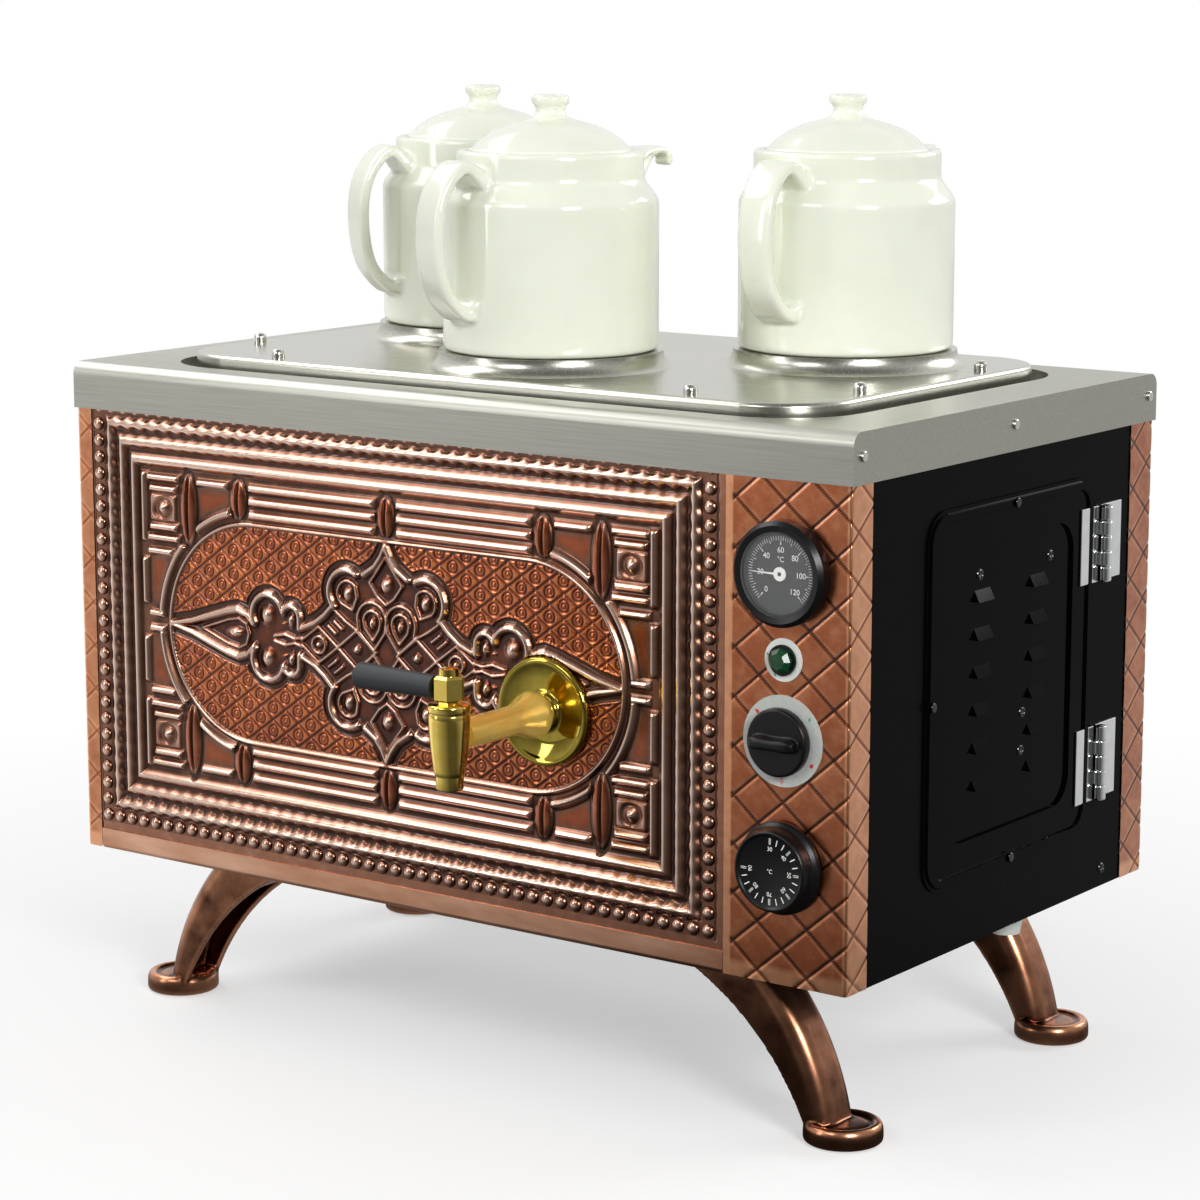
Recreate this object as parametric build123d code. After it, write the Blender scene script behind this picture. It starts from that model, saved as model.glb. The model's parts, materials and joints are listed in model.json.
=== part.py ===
from build123d import *
import os

# Copper-clad counter tea boiler with three porcelain teapots, electric and gas heated.
# Millimetres, +Z up, X along the front, the front faces -Y, origin on the floor under the middle.

# Whole boiler
tray_length = 600.0
tray_depth = 360.0
tray_skirt = 30.0
body_height = 294.0          # base pan underside to the lower edge of the skirt
leg_height = 106.0           # floor to the base pan underside
tray_sheet = 1.0
panel_sheet = 0.8
fit_gap = 0.3                # sheet beside sheet, and pieces that lift off
run_gap = 0.05               # radial running fit of pins and spindles
cut_overrun = 4.0

# Stainless top
tray_bend = 8.0
opening_margin_x = 42.0
opening_margin_y = 23.0
opening_corner = 54.0
rebate_depth = 12.0
rebate_lip = 5.0
rivet_head_radius = 3.2
rivet_head_height = 1.6
rivet_shank_radius = 1.6
rivet_shank_length = 3.5
rivet_inset = 10.0
rivet_drop = 14.0

# Copper strips, rail and panels
strip_fold = 4.0
strip_return = 22.0
left_strip_width = 12.5
control_strip_width = 84.7
rear_strip_width = 28.8
panel_tuck = 6.0
panel_top_gap = 12.0         # tray top to the upper edge of the copper sheets
rail_height = 13.0
rail_fold = 3.0
rail_return = 18.0

# Embossed ornament of the front panel
ornament_shift = -2.4        # off the middle of the open panel, along X
ornament_rise = 5.8
relief_height = 2.0
relief_taper_angle = 35.0
frame_margin_x = 19.6        # open panel edge to the middle of the outer frame
frame_margin_z = 12.8
frame_pitch_x = 10.0
frame_pitch_z = 11.5
frame_width = 7.6
frame_count = 3
bar_width = 6.6
bar_drop = 34.0              # drops and insets count from the middle of the outer frame
bar_pitch = 8.5
bar_count = 3
bar_inner_end = 9.0
bar_inset = 119.5
bean_width = 7.0
bean_length = 24.0
bean_pitch = 9.0
bean_inset = 111.0
long_bean_inset = 69.5
long_bean_drop = 53.7
long_bean_length = 45.0
block_inset = 44.0
block_drop = 52.0
block_half_x = 17.0
block_half_z = 22.5
block_boss_radius = 8.0
side_bar_width = 18.0
side_bar_offset = 5.4
side_bar_pitch = 41.6
cartouche_inset = 48.5
cartouche_drop = 56.7
cartouche_rim = 4.4
medallion_rim = 3.6
medallion_tip_drop = 7.0     # cartouche edge to the medallion tip
medallion_neck = 15.0
medallion_neck_z = 48.0
lobe_x = 32.5
lobe_z = 36.0
lobe_radius = 15.0
waist_x = 66.0
waist_z = 8.5
side_lobe_x = 94.0
side_lobe_z = 17.0
side_lobe_radius = 12.5
leaf_x = 112.0
leaf_z = 18.0
leaf_tip_inset = 10.0
boss_half_x = 5.0
boss_half_z = 6.5

# Base pan, legs and gland
pan_sheet = 1.0
pan_flange = 22.0
pan_corner = 5.0
pan_bend = 3.0
air_hole_radius = 62.0
foot_inset_x = 33.7
foot_inset_y = 52.7
foot_radius = 24.0
foot_height = 10.0
foot_rim_round = 4.2
foot_base_round = 2.5
foot_dish_radius = 18.5
foot_dish_depth = 3.5
leg_width = 34.0
leg_outer_round = 11.0
leg_outer_wall = 8.0          # along X, round the hollow at the back of the leg
leg_side_wall = 5.0
leg_hollow_drop = 20.0        # under the base pan, clear of the bolts
leg_hollow_rise = 8.0
leg_toe_out = 1.0
leg_toe_width = 17.0
leg_root_in = 52.0
leg_root_width = 78.0
leg_outer_swell = 10.5
leg_inner_swell = 25.0
leg_bolt_radius = 3.0
leg_bolt_depth = 14.0
leg_bolt_head_radius = 5.0
leg_bolt_head_height = 4.0
leg_bolt_inset = 10.0
leg_bolt_pitch = 24.0
gland_inset_x = 30.7
gland_inset_y = 120.7
gland_body_radius = 10.0
gland_flange_radius = 13.0
gland_flange_height = 6.0
gland_cap_height = 14.0
gland_cap_end_radius = 9.0
gland_bore_radius = 4.6
gland_nut_height = 5.0

# Tank, lid and heaters
tank_inset_x = 68.0           # tray edge to the tank wall
tank_inset_y = 50.0
tank_corner = 30.0
tank_sheet = 1.0
tank_floor_share = 0.38776    # of the body height
flange_sheet = 1.5
gasket_height = 3.0
gasket_width = 7.0
lid_gap_x = 11.0              # tray opening to the lid
lid_gap_y = 10.0
lid_corner = 46.0
lid_rise = 7.0               # lid top over the tray top
lid_edge_round = 3.0
collar_margin = 2.7          # pot wall to the top edge of its collar
collar_flare = 6.5
collar_height = 10.2
collar_waist_flare = 2.1
collar_waist_height = 3.6
collar_lip = 12.5
stud_radius = 2.5
stud_clearance = 0.3
nut_radius = 4.2
nut_height = 3.4
nut_dome = 3.0
stud_end_inset = 77.0
stud_side_inset = 87.0
stud_inset_x = 12.0
stud_inset_y = 10.0
element_rise = 38.0            # tank floor to the element axis
element_y = 40.0
element_neck_radius = 15.0
element_flange_radius = 22.0
element_flange_height = 7.0
element_nut_radius = 20.0
element_nut_height = 6.0
element_tube_radius = 4.2
element_loop_half = 9.0
element_length = 330.0
terminal_radius = 3.0
terminal_length = 14.0
burner_radius = 45.0
burner_height = 22.0
burner_tank_gap = 30.0
burner_cap_radius = 30.0
burner_cap_height = 8.0
burner_post_radius = 14.0
gas_pipe_radius = 6.0
gas_pipe_drop = 10.0          # burner underside to the pipe axis
gas_pipe_bore = 4.0
inlet_thread_radius = 10.48  # half-inch pipe thread, drawn plain
inlet_thread_length = 16.0
inlet_flange_radius = 13.0
inlet_flange_height = 6.0

# Controls on the strip
control_inset = 44.2          # side of the strip to the axis of the controls
thermometer_share = 0.81973   # of the body height
thermostat_share = 0.2381
control_gap_shares = [0.2023, 0.2254]  # of the height the four controls leave free
bezel_radius = 30.5
bezel_height = 9.5
bezel_lip = 6.0
bezel_round = 2.5
case_radius = 26.0
case_depth = 14.0
case_wall = 1.5
dial_sheet = 1.0
dial_depth = 5.0             # bezel face to the dial
dial_pin_radius = 1.2
needle_sheet = 0.8
needle_hub_radius = 4.0
needle_length = 21.0
needle_tail = 4.0
needle_half_width = 0.9
needle_gap = 0.5
glass_sheet = 1.5
pilot_disc_radius = 12.5
pilot_disc_sheet = 1.0
pilot_stem_radius = 6.0
pilot_flange_radius = 9.0
pilot_depth = 22.0
pilot_nut_height = 3.0
pilot_lens_radius = 7.4
pilot_lens_height = 5.0
pilot_lens_facets = 8
selector_dial_radius = 26.7
selector_dial_sheet = 1.2
selector_skirt_radius = 20.0
selector_skirt_height = 6.0
selector_height = 22.0
selector_grip_width = 11.0
selector_crown_radius = 17.5
switch_half_x = 22.0
switch_half_z = 22.0
switch_depth = 34.0
thermostat_skirt_radius = 27.5
thermostat_skirt_height = 5.0
thermostat_crown_radius = 23.0
thermostat_height = 17.0
thermostat_crown_dish = 1.2
thermostat_half_x = 24.0
thermostat_half_z = 19.0
thermostat_depth = 32.0
spindle_radius = 3.0
spindle_bush_radius = 5.0
spindle_bush_clearance = 0.3
spindle_seat = 12.0
knob_gap = 0.4

# Brass tap
tap_inset = 129.5             # control strip to the tap axis
tap_share = 0.47449           # of the body height
tap_reach = 92.0             # panel to the tap axis
rosette_radius = 33.5
rosette_sheet = 1.6
rosette_rim_width = 4.0
rosette_rim_height = 5.0
collar_neck_length = 9.0
collar_bell_radius = 14.5
collar_bell_length = 6.0
collar_cone_length = 17.0
collar_cone_swell = 1.2
collar_bell_round = 2.0
tap_pipe_radius = 9.0
tap_pipe_bore = 5.0
tap_nut_radius = 14.0
tap_nut_height = 7.0
tap_shank_end = 3.0
tap_body_top = 20.5          # tap axis heights over and under the pipe
tap_body_bottom = 21.5
tap_nozzle_drop = 30.0
tap_body_top_radius = 12.6
tap_body_foot_radius = 8.8
tap_nozzle_radius = 8.2
tap_outlet_radius = 5.5
tap_plug_radius = 6.5
tap_plug_length = 20.0
tap_hex_across = 16.2
tap_hex_height = 19.0
tap_hex_gap = 1.6
tap_slot_width = 3.0
tap_slot_depth = 2.5
lever_rod_radius = 3.0
lever_rise = 8.6
lever_start = 10.0
lever_length = 60.0
lever_root_radius = 6.7
lever_tip_radius = 8.0
lever_rod_length = 56.0

# Door of the right side
door_front_margin = 81.7      # casing edges to the door
door_rear_margin = 76.7
door_low_margin = 40.0
door_high_margin = 26.0
door_corner = 20.0
door_sheet = 1.0
door_rim_inset = 2.0
door_rim_width = 6.0
door_rim_height = 1.5
door_rim_taper_angle = 30.0
door_panel_inset = 24.0
door_panel_depth = 2.0
door_panel_corner = 20.0
door_opening_inset = 16.0
louvre_rows = 6
louvre_pitch_y = 66.0
louvre_top_drop = 60.0
louvre_low_rise = 53.5
louvre_length = 18.0
louvre_slot = 3.0
louvre_hood_rise = 3.4
louvre_hood_length = 7.0
louvre_hood_sheet = 0.8
hinge_axis_gap = 9.5         # door edge to the hinge axis
hinge_axis_rise = 5.1        # side panel face to the hinge axis
hinge_inset = 44.0           # door end to the middle of the hinge
hinge_height = 48.0
hinge_knuckles = 5
hinge_sheet = 1.5
hinge_leaf_width = 22.0
hinge_tab_gap = 0.6
knuckle_radius = 4.0
knuckle_gap = 0.3
hinge_pin_radius = 2.0
screw_radius = 3.0
screw_height = 1.8
rim_screw_inset = 5.0

# Teapots
pot_radius = 67.8
pot_height = 124.0
pot_wall = 5.0
pot_foot_width = 4.5
pot_foot_step = 2.8
pot_foot_recess = 2.0
pot_foot_round = 3.0
pot_shoulder_z = 91.0
pot_neck_step = 9.2
pot_neck_z = 108.0
pot_shoulder_swell = 0.9
pot_rim_round = 2.0
pot_rim_width = 7.6
pot_ledge_width = 5.0
pot_ledge_depth = 3.7
pot_ledge_sheet = 4.0
pot_floor = 6.0
pot_inset_x = 102.5          # lid edges to the pot axes
pot_rear_inset = 90.8
pot_front_inset = 87.0
pot_turn_angles = [-118.0, -107.0, -95.0]
handle_reaches = [-11.8, 4.2, 22.2, 27.2, 21.2, 4.2, -5.8]    # from the pot wall
handle_heights = [104.0, 117.0, 98.0, 72.0, 44.0, 28.0, 35.0]
handle_width = 20.0
handle_thick = 9.0
handle_round = 4.0
spout_reach = 25.5
spout_top_z = 125.0
spout_low_z = 104.0
spout_knee = 7.0
spout_depth = 8.0
spout_curl_radius = 6.5
spout_root_half = 24.0
spout_tip_half = 6.0
spout_wall = 3.6
spout_channel = 1.8
lid_edge_gap = 0.4
lid_edge_height = 4.2
lid_dome_rise = 18.0
lid_dome_inset = 2.0
lid_skirt_gap = 0.5
lid_skirt_depth = 8.0
lid_wall = 4.0
knob_root_radius = 9.4
knob_neck_radius = 8.2
knob_neck_rise = 4.0
knob_top_radius = 11.3
knob_top_rise = 11.5
knob_height = 15.0
pot_seat_gap = 0.3

# Levels and faces that several pieces share
base_z = leg_height
skirt_z = base_z + body_height
tray_top = skirt_z + tray_skirt
shell_x = tray_length / 2 - tray_sheet - fit_gap
shell_y = tray_depth / 2 - tray_sheet - fit_gap
panel_x = shell_x - panel_sheet
panel_y = shell_y - panel_sheet
inner_x = panel_x - panel_sheet
inner_y = panel_y - panel_sheet
copper_top = tray_top - panel_top_gap
side_half_y = tray_depth / 2 - tray_bend
control_left = shell_x - control_strip_width
control_x = shell_x - control_inset
rebate_floor = tray_top - rebate_depth
flange_top = rebate_floor + flange_sheet
gasket_top = flange_top + gasket_height
lid_top = tray_top + lid_rise
pot_foot_out = pot_radius - pot_foot_step
pot_foot_in = pot_foot_out - pot_foot_width
pot_neck_radius = pot_radius - pot_neck_step
pot_mouth_radius = pot_neck_radius - pot_rim_width
pot_ledge_radius = pot_mouth_radius - pot_ledge_width
collar_top_radius = pot_radius + collar_margin
collar_base_radius = collar_top_radius + collar_flare
collar_waist_radius = collar_top_radius + collar_waist_flare
collar_lip_radius = collar_top_radius - collar_lip
pot_seat = lid_top + collar_height
pot_base = pot_seat + pot_seat_gap
lid_half_x = tray_length / 2 - opening_margin_x - lid_gap_x
lid_half_y = tray_depth / 2 - opening_margin_y - lid_gap_y
tank_half_x = tray_length / 2 - tank_inset_x
tank_half_y = tray_depth / 2 - tank_inset_y
tank_bottom_z = base_z + tank_floor_share * body_height
element_z = tank_bottom_z + element_rise
burner_top_z = tank_bottom_z - burner_tank_gap
gas_pipe_z = burner_top_z - burner_height - gas_pipe_drop
pot_rear_x = lid_half_x - pot_inset_x
pot_rear_y = lid_half_y - pot_rear_inset
pot_front_y = pot_front_inset - lid_half_y
pot_places = [(-pot_rear_x, pot_rear_y), (0, pot_front_y), (pot_rear_x, pot_rear_y)]
stud_end = (lid_half_x - stud_inset_x, lid_half_y - stud_end_inset)
stud_side = (lid_half_x - stud_side_inset, lid_half_y - stud_inset_y)
stud_places = [(sx * x, sy * y) for x, y in (stud_end, stud_side) for sx in (-1, 1) for sy in (-1, 1)]
gland_x = shell_x - gland_inset_x
gland_y = shell_y - gland_inset_y
leg_bolt_insets = [leg_bolt_inset, leg_bolt_inset + leg_bolt_pitch]
foot_x = shell_x - foot_inset_x
foot_y = shell_y - foot_inset_y
thermometer_z = base_z + thermometer_share * body_height
thermostat_z = base_z + thermostat_share * body_height
control_free = thermometer_z - thermostat_z - bezel_radius - thermostat_skirt_radius
control_free -= 2 * (pilot_disc_radius + selector_dial_radius)
pilot_z = thermometer_z - bezel_radius - pilot_disc_radius - control_gap_shares[0] * control_free
selector_z = pilot_z - pilot_disc_radius - selector_dial_radius - control_gap_shares[1] * control_free
tap_x = control_left - tap_inset
tap_z = base_z + tap_share * body_height
open_left = left_strip_width - shell_x
open_low = base_z + rail_height
ornament_x = (open_left + control_left) / 2 + ornament_shift
ornament_z = (open_low + skirt_z) / 2 + ornament_rise
frame_half_x = (control_left - open_left) / 2 - frame_margin_x
frame_half_z = (skirt_z - open_low) / 2 - frame_margin_z
cartouche_half_x = frame_half_x - cartouche_inset
cartouche_half_z = frame_half_z - cartouche_drop
door_half_y = shell_y - (door_front_margin + door_rear_margin) / 2
door_half_z = (body_height - door_low_margin - door_high_margin) / 2
door_y = door_front_margin + door_half_y - shell_y
door_z = base_z + door_low_margin + door_half_z
louvre_pitch_z = (2 * door_half_z - louvre_top_drop - louvre_low_rise) / (louvre_rows - 1)
hinge_places = [door_half_z - hinge_inset, hinge_inset - door_half_z]
door_face = panel_x + fit_gap + door_sheet
rim_face = door_face + door_rim_height
hinge_x = panel_x + hinge_axis_rise
hinge_y = door_y + door_half_y + hinge_axis_gap
rivet_z = tray_top - rivet_drop
rivet_y_places = [-(tray_depth / 2 - rivet_inset), 0, tray_depth / 2 - rivet_inset]


def rounded_block(half_x, half_y, corner, z_low, z_high):
    outline = RectangleRounded(2 * half_x, 2 * half_y, corner)
    return Pos(0, 0, z_low) * extrude(outline, amount=z_high - z_low)


def disc(radius, z_low, z_high):
    return Pos(0, 0, z_low) * extrude(Circle(radius), amount=z_high - z_low)


def turned(points):
    # Points are (radius, height) pairs, turned about Z
    outline = Polyline(*[(r, 0, z) for r, z in points], close=True)
    return revolve(make_face(outline), Axis.Z)


def front_at(x, z, y=-shell_y):
    # Local Z points out of the front
    return Plane(origin=(x, y, z), x_dir=(1, 0, 0), z_dir=(0, -1, 0)).location


def side_at(y, z, x):
    # Local Z points out of the right side
    return Plane(origin=(x, y, z), x_dir=(0, 1, 0), z_dir=(1, 0, 0)).location


def block(x_low, x_high, y_low, y_high, z_low, z_high):
    size = (x_high - x_low, y_high - y_low, z_high - z_low)
    return Pos(x_low, y_low, z_low) * Box(*size, align=(Align.MIN, Align.MIN, Align.MIN))


# Stainless top

def opening_block(inset, z_low, z_high):
    half_x = tray_length / 2 - opening_margin_x - inset
    half_y = tray_depth / 2 - opening_margin_y - inset
    return rounded_block(half_x, half_y, opening_corner - inset, z_low, z_high)


def top_tray():
    half_x = tray_length / 2 - tray_sheet
    half_y = tray_depth / 2
    outer = block(-half_x, half_x, -half_y, half_y, skirt_z, tray_top)
    outer = fillet(outer.edges().filter_by(Axis.X).group_by(Axis.Z)[-1], tray_bend)
    bore_half = half_y - tray_sheet
    bore = block(-half_x - cut_overrun, half_x + cut_overrun, -bore_half, bore_half,
                 skirt_z - cut_overrun, tray_top - tray_sheet)
    bore = fillet(bore.edges().filter_by(Axis.X).group_by(Axis.Z)[-1], tray_bend - tray_sheet)
    lip_low = rebate_floor - tray_sheet
    rebate = opening_block(0, lip_low, tray_top)
    rebate -= opening_block(tray_sheet, rebate_floor, tray_top + cut_overrun)
    rebate -= opening_block(tray_sheet + rebate_lip, lip_low - cut_overrun, tray_top)
    return outer - bore - opening_block(0, lip_low, tray_top + cut_overrun) + rebate


def end_cap(side):
    half_y = tray_depth / 2
    cap = block(tray_length / 2 - tray_sheet, tray_length / 2, -half_y, half_y, skirt_z, tray_top)
    cap = fillet(cap.edges().filter_by(Axis.X).group_by(Axis.Z)[-1], tray_bend)
    cap -= rivet_holes()
    return cap if side > 0 else mirror(cap, Plane.YZ)


def rivet_holes():
    start = tray_length / 2 - rivet_shank_length - cut_overrun
    hole = extrude(Circle(rivet_shank_radius + run_gap), amount=tray_length / 2 - start + cut_overrun)
    return [side_at(y, rivet_z, start) * hole for y in rivet_y_places]


def end_cap_rivets():
    head = disc(rivet_head_radius, 0, rivet_head_height)
    head = fillet(head.edges().group_by(Axis.Z)[-1], rivet_head_height / 2)
    rivet = head + disc(rivet_shank_radius, -rivet_shank_length, 0)
    right = [side_at(y, rivet_z, tray_length / 2) * rivet for y in rivet_y_places]
    return Compound(right + [mirror(one, Plane.YZ) for one in right])


# Copper strips, rail and panels

def corner_strip(along_x, along_y):
    # Right front corner, the other corners are its mirror images
    outer = block(shell_x - along_x, shell_x, -shell_y, along_y - shell_y, base_z, copper_top)
    fold = outer.edges().filter_by(Axis.Z).sort_by(Axis.X)[-2:].sort_by(Axis.Y)[0]
    outer = fillet(fold, strip_fold)
    inner = block(shell_x - along_x - cut_overrun, panel_x, -panel_y, along_y - shell_y + cut_overrun,
                  base_z - cut_overrun, copper_top + cut_overrun)
    fold = inner.edges().filter_by(Axis.Z).sort_by(Axis.X)[-2:].sort_by(Axis.Y)[0]
    return outer - fillet(fold, strip_fold - panel_sheet)


def control_strip():
    strip = corner_strip(control_strip_width, strip_return)
    holes = [
        (thermometer_z, case_radius + fit_gap),
        (pilot_z, pilot_stem_radius + fit_gap),
        (selector_z, spindle_bush_radius + fit_gap),
        (thermostat_z, spindle_bush_radius + fit_gap),
    ]
    for z, radius in holes:
        strip -= front_at(control_x, z) * disc(radius, -cut_overrun, cut_overrun)
    return strip - rivet_holes()


def rear_right_strip():
    strip = mirror(corner_strip(strip_return, rear_strip_width), Plane.XZ)
    return strip - rivet_holes()


def front_left_strip():
    strip = mirror(corner_strip(left_strip_width, strip_return), Plane.YZ)
    return strip - mirror(Compound(rivet_holes()), Plane.YZ)


def rear_left_strip():
    return mirror(rear_right_strip(), Plane.YZ)


def front_bottom_rail():
    left = left_strip_width - shell_x + fit_gap
    right = control_left - fit_gap
    low = base_z - panel_sheet
    outer = block(left, right, -shell_y, rail_return - shell_y, low, base_z + rail_height)
    outer = fillet(outer.edges().filter_by(Axis.X).group_by(Axis.Z)[0].sort_by(Axis.Y)[0], rail_fold)
    inner = block(left - cut_overrun, right + cut_overrun, -panel_y, rail_return + cut_overrun - shell_y,
                  base_z, base_z + rail_height + cut_overrun)
    edge = inner.edges().filter_by(Axis.X).group_by(Axis.Z)[0].sort_by(Axis.Y)[0]
    return outer - fillet(edge, rail_fold - panel_sheet)


def side_panel():
    return block(inner_x, panel_x, -side_half_y, side_half_y, base_z, tray_top - tray_sheet) - rivet_holes()


def right_side_panel():
    half_y = door_half_y - door_opening_inset
    half_z = door_half_z - door_opening_inset
    outline = RectangleRounded(2 * half_y, 2 * half_z, door_corner)
    opening = extrude(outline, amount=panel_x - inner_x, both=True)
    return side_panel() - side_at(door_y, door_z, inner_x) * opening


def back_panel():
    sheet_half = panel_x - strip_fold
    back = block(-sheet_half, sheet_half, inner_y, panel_y, base_z, copper_top)
    hole = extrude(Circle(gas_pipe_radius + fit_gap), amount=cut_overrun, both=True)
    return back - Pos(0, inner_y, gas_pipe_z) * Rot(90, 0, 0) * hole


# Embossed front

def frame_sketches():
    for ring in range(frame_count):
        half_x = frame_half_x - ring * frame_pitch_x
        half_z = frame_half_z - ring * frame_pitch_z
        outer = Rectangle(2 * half_x + frame_width, 2 * half_z + frame_width)
        yield outer - Rectangle(2 * half_x - frame_width, 2 * half_z - frame_width)


def bean(length):
    # Lens between two equal arcs
    tip = length / 2
    left = ThreePointArc((0, -tip), (-bean_width / 2, 0), (0, tip))
    return make_face([left, mirror(left, Plane.YZ)])


def quarter_sketches():
    # Upper right quarter of the border, mirrored by the caller
    length = frame_half_x - bar_inset - bar_inner_end
    for index in range(bar_count):
        z = frame_half_z - bar_drop - index * bar_pitch
        yield Pos(bar_inner_end + length / 2, z) * Rectangle(length, bar_width)
    bean_x = frame_half_x - bean_inset
    for x in (bean_pitch / 2, bean_x - bean_pitch / 2, bean_x + bean_pitch / 2):
        yield Pos(x, frame_half_z - bar_drop - bar_pitch) * bean(bean_length)
    long_bean_x = frame_half_x - long_bean_inset
    for x in (long_bean_x - bean_pitch / 2, long_bean_x + bean_pitch / 2):
        yield Pos(x, frame_half_z - long_bean_drop) * bean(long_bean_length)
    block_x = frame_half_x - block_inset
    block_z = frame_half_z - block_drop
    ring = Rectangle(2 * block_half_x, 2 * block_half_z)
    ring -= Rectangle(2 * (block_half_x - bar_width), 2 * (block_half_z - bar_width))
    yield Pos(block_x, block_z) * ring
    yield Pos(block_x, block_z) * Circle(block_boss_radius)
    for z in (side_bar_offset, side_bar_offset + side_bar_pitch):
        yield Pos(block_x + block_half_x - side_bar_width / 2, z) * Rectangle(side_bar_width, bar_width)


def medallion():
    half = [
        (0, cartouche_half_z - medallion_tip_drop),
        (medallion_neck, medallion_neck_z),
        (waist_x, waist_z),
        (leaf_x, leaf_z),
        (cartouche_half_x - leaf_tip_inset, 0),
    ]
    points = half + [(x, -z) for x, z in half[-2::-1]]
    points += [(-x, z) for x, z in points[-2:0:-1]]
    outline = make_face(Polyline(*points, close=True))
    for sx in (-1, 1):
        for sz in (-1, 1):
            outline += Pos(sx * lobe_x, sz * lobe_z) * Circle(lobe_radius)
            outline += Pos(sx * side_lobe_x, sz * side_lobe_z) * Circle(side_lobe_radius)
    return outline


def medallion_bosses():
    places = [(0, lobe_z), (lobe_x, lobe_z), (2 * boss_half_x, lobe_z / 2)]
    places += [(side_lobe_x, side_lobe_z), (leaf_x, 0)]
    diamond = [(boss_half_x, 0), (0, boss_half_z), (-boss_half_x, 0), (0, -boss_half_z)]
    for x, z in places:
        for sx in {1, -1 if x else 1}:
            for sz in {1, -1 if z else 1}:
                yield Pos(sx * x, sz * z) * make_face(Polyline(*diamond, close=True))


def raised(sketch):
    return extrude(sketch, amount=relief_height, taper=relief_taper_angle)


def front_panel():
    left = strip_fold - panel_x
    right = control_left + panel_tuck
    sheet = block(left, right, -panel_y, -inner_y, base_z + rail_fold, copper_top)
    relief = [raised(one) for one in frame_sketches()]
    for one in quarter_sketches():
        corner = raised(one)
        across = mirror(corner, Plane.YZ)
        relief += [corner, across, mirror(corner, Plane.XZ), mirror(across, Plane.XZ)]
    rim = SlotOverall(2 * (cartouche_half_x + cartouche_rim), 2 * (cartouche_half_z + cartouche_rim))
    relief.append(raised(rim - SlotOverall(2 * cartouche_half_x, 2 * cartouche_half_z)))
    outline = medallion()
    relief.append(raised(outline - offset(outline, -medallion_rim)))
    relief += [raised(one) for one in medallion_bosses()]
    place = front_at(ornament_x, ornament_z, -panel_y)
    sheet += [place * one for one in relief]
    flat = front_at(tap_x, tap_z, -panel_y) * disc(rosette_radius + fit_gap, 0, relief_height + cut_overrun)
    hole = front_at(tap_x, tap_z, -panel_y) * disc(tap_pipe_radius + fit_gap, -cut_overrun, cut_overrun)
    return sheet - flat - hole


# Base pan, legs and gland

def leg_bolt_places():
    root_out = foot_x - leg_root_in
    return [(sx * (root_out - inset), sy * foot_y)
            for sx in (-1, 1) for sy in (-1, 1) for inset in leg_bolt_insets]


def base_pan():
    pan = rounded_block(inner_x, inner_y, pan_corner, base_z, base_z + pan_flange)
    pan = fillet(pan.edges().group_by(Axis.Z)[0], pan_bend)
    inside = rounded_block(inner_x - pan_sheet, inner_y - pan_sheet, pan_corner - pan_sheet,
                           base_z + pan_sheet, base_z + pan_flange + cut_overrun)
    inside = fillet(inside.edges().group_by(Axis.Z)[0], pan_bend - pan_sheet)
    pan -= inside
    low, high = base_z - cut_overrun, base_z + cut_overrun
    pan -= disc(air_hole_radius, low, high)
    pan -= Pos(gland_x, gland_y, 0) * disc(gland_body_radius + fit_gap, low, high)
    bolt_hole = disc(leg_bolt_radius + fit_gap, low, high)
    return pan - [Pos(x, y, 0) * bolt_hole for x, y in leg_bolt_places()]


def leg():
    # Right front leg and foot, one casting
    toe_z = foot_height - foot_dish_depth
    toe_out = foot_x + leg_toe_out
    toe_in = toe_out - leg_toe_width
    root_out = foot_x - leg_root_in
    root_in = root_out - leg_root_width
    middle_z = (toe_z + base_z) / 2
    outer_mid = ((toe_out + root_out) / 2 + leg_outer_swell, 0, middle_z)
    inner_mid = ((toe_in + root_in) / 2 + leg_inner_swell, 0, middle_z)
    profile = [
        ThreePointArc((toe_out, 0, toe_z), outer_mid, (root_out, 0, base_z)),
        Line((root_out, 0, base_z), (root_in, 0, base_z)),
        ThreePointArc((root_in, 0, base_z), inner_mid, (toe_in, 0, toe_z)),
        Line((toe_in, 0, toe_z), (toe_out, 0, toe_z)),
    ]
    blade = extrude(make_face(profile), amount=leg_width / 2, dir=(0, 1, 0), both=True)
    hollow = extrude(make_face(profile), amount=leg_width / 2 - leg_side_wall, dir=(0, 1, 0), both=True)
    hollow = Pos(-leg_outer_wall, 0, 0) * hollow
    hollow &= block(0, foot_x, -leg_width, leg_width, toe_z + leg_hollow_rise, base_z - leg_hollow_drop)
    # Rounded outside, sharp and hollow at the back
    long_edges = blade.edges().filter_by(GeomType.CIRCLE).sort_by(Axis.X)
    blade = fillet(long_edges[2:], leg_outer_round)
    blade = Pos(0, -foot_y, 0) * (blade - hollow)
    foot = disc(foot_radius, 0, foot_height)
    foot = fillet(foot.edges().group_by(Axis.Z)[-1], foot_rim_round)
    foot = fillet(foot.edges().group_by(Axis.Z)[0], foot_base_round)
    foot -= disc(foot_dish_radius, toe_z, foot_height + cut_overrun)
    casting = blade + Pos(foot_x, -foot_y, 0) * foot
    bolt_hole = disc(leg_bolt_radius + run_gap, base_z - leg_bolt_depth - fit_gap, base_z + cut_overrun)
    return casting - [Pos(root_out - inset, -foot_y, 0) * bolt_hole for inset in leg_bolt_insets]


def leg_bolts():
    head_low = base_z + pan_sheet
    bolt = disc(leg_bolt_radius, base_z - leg_bolt_depth, head_low)
    bolt += disc(leg_bolt_head_radius, head_low, head_low + leg_bolt_head_height)
    return Compound([Pos(x, y, 0) * bolt for x, y in leg_bolt_places()])


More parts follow.
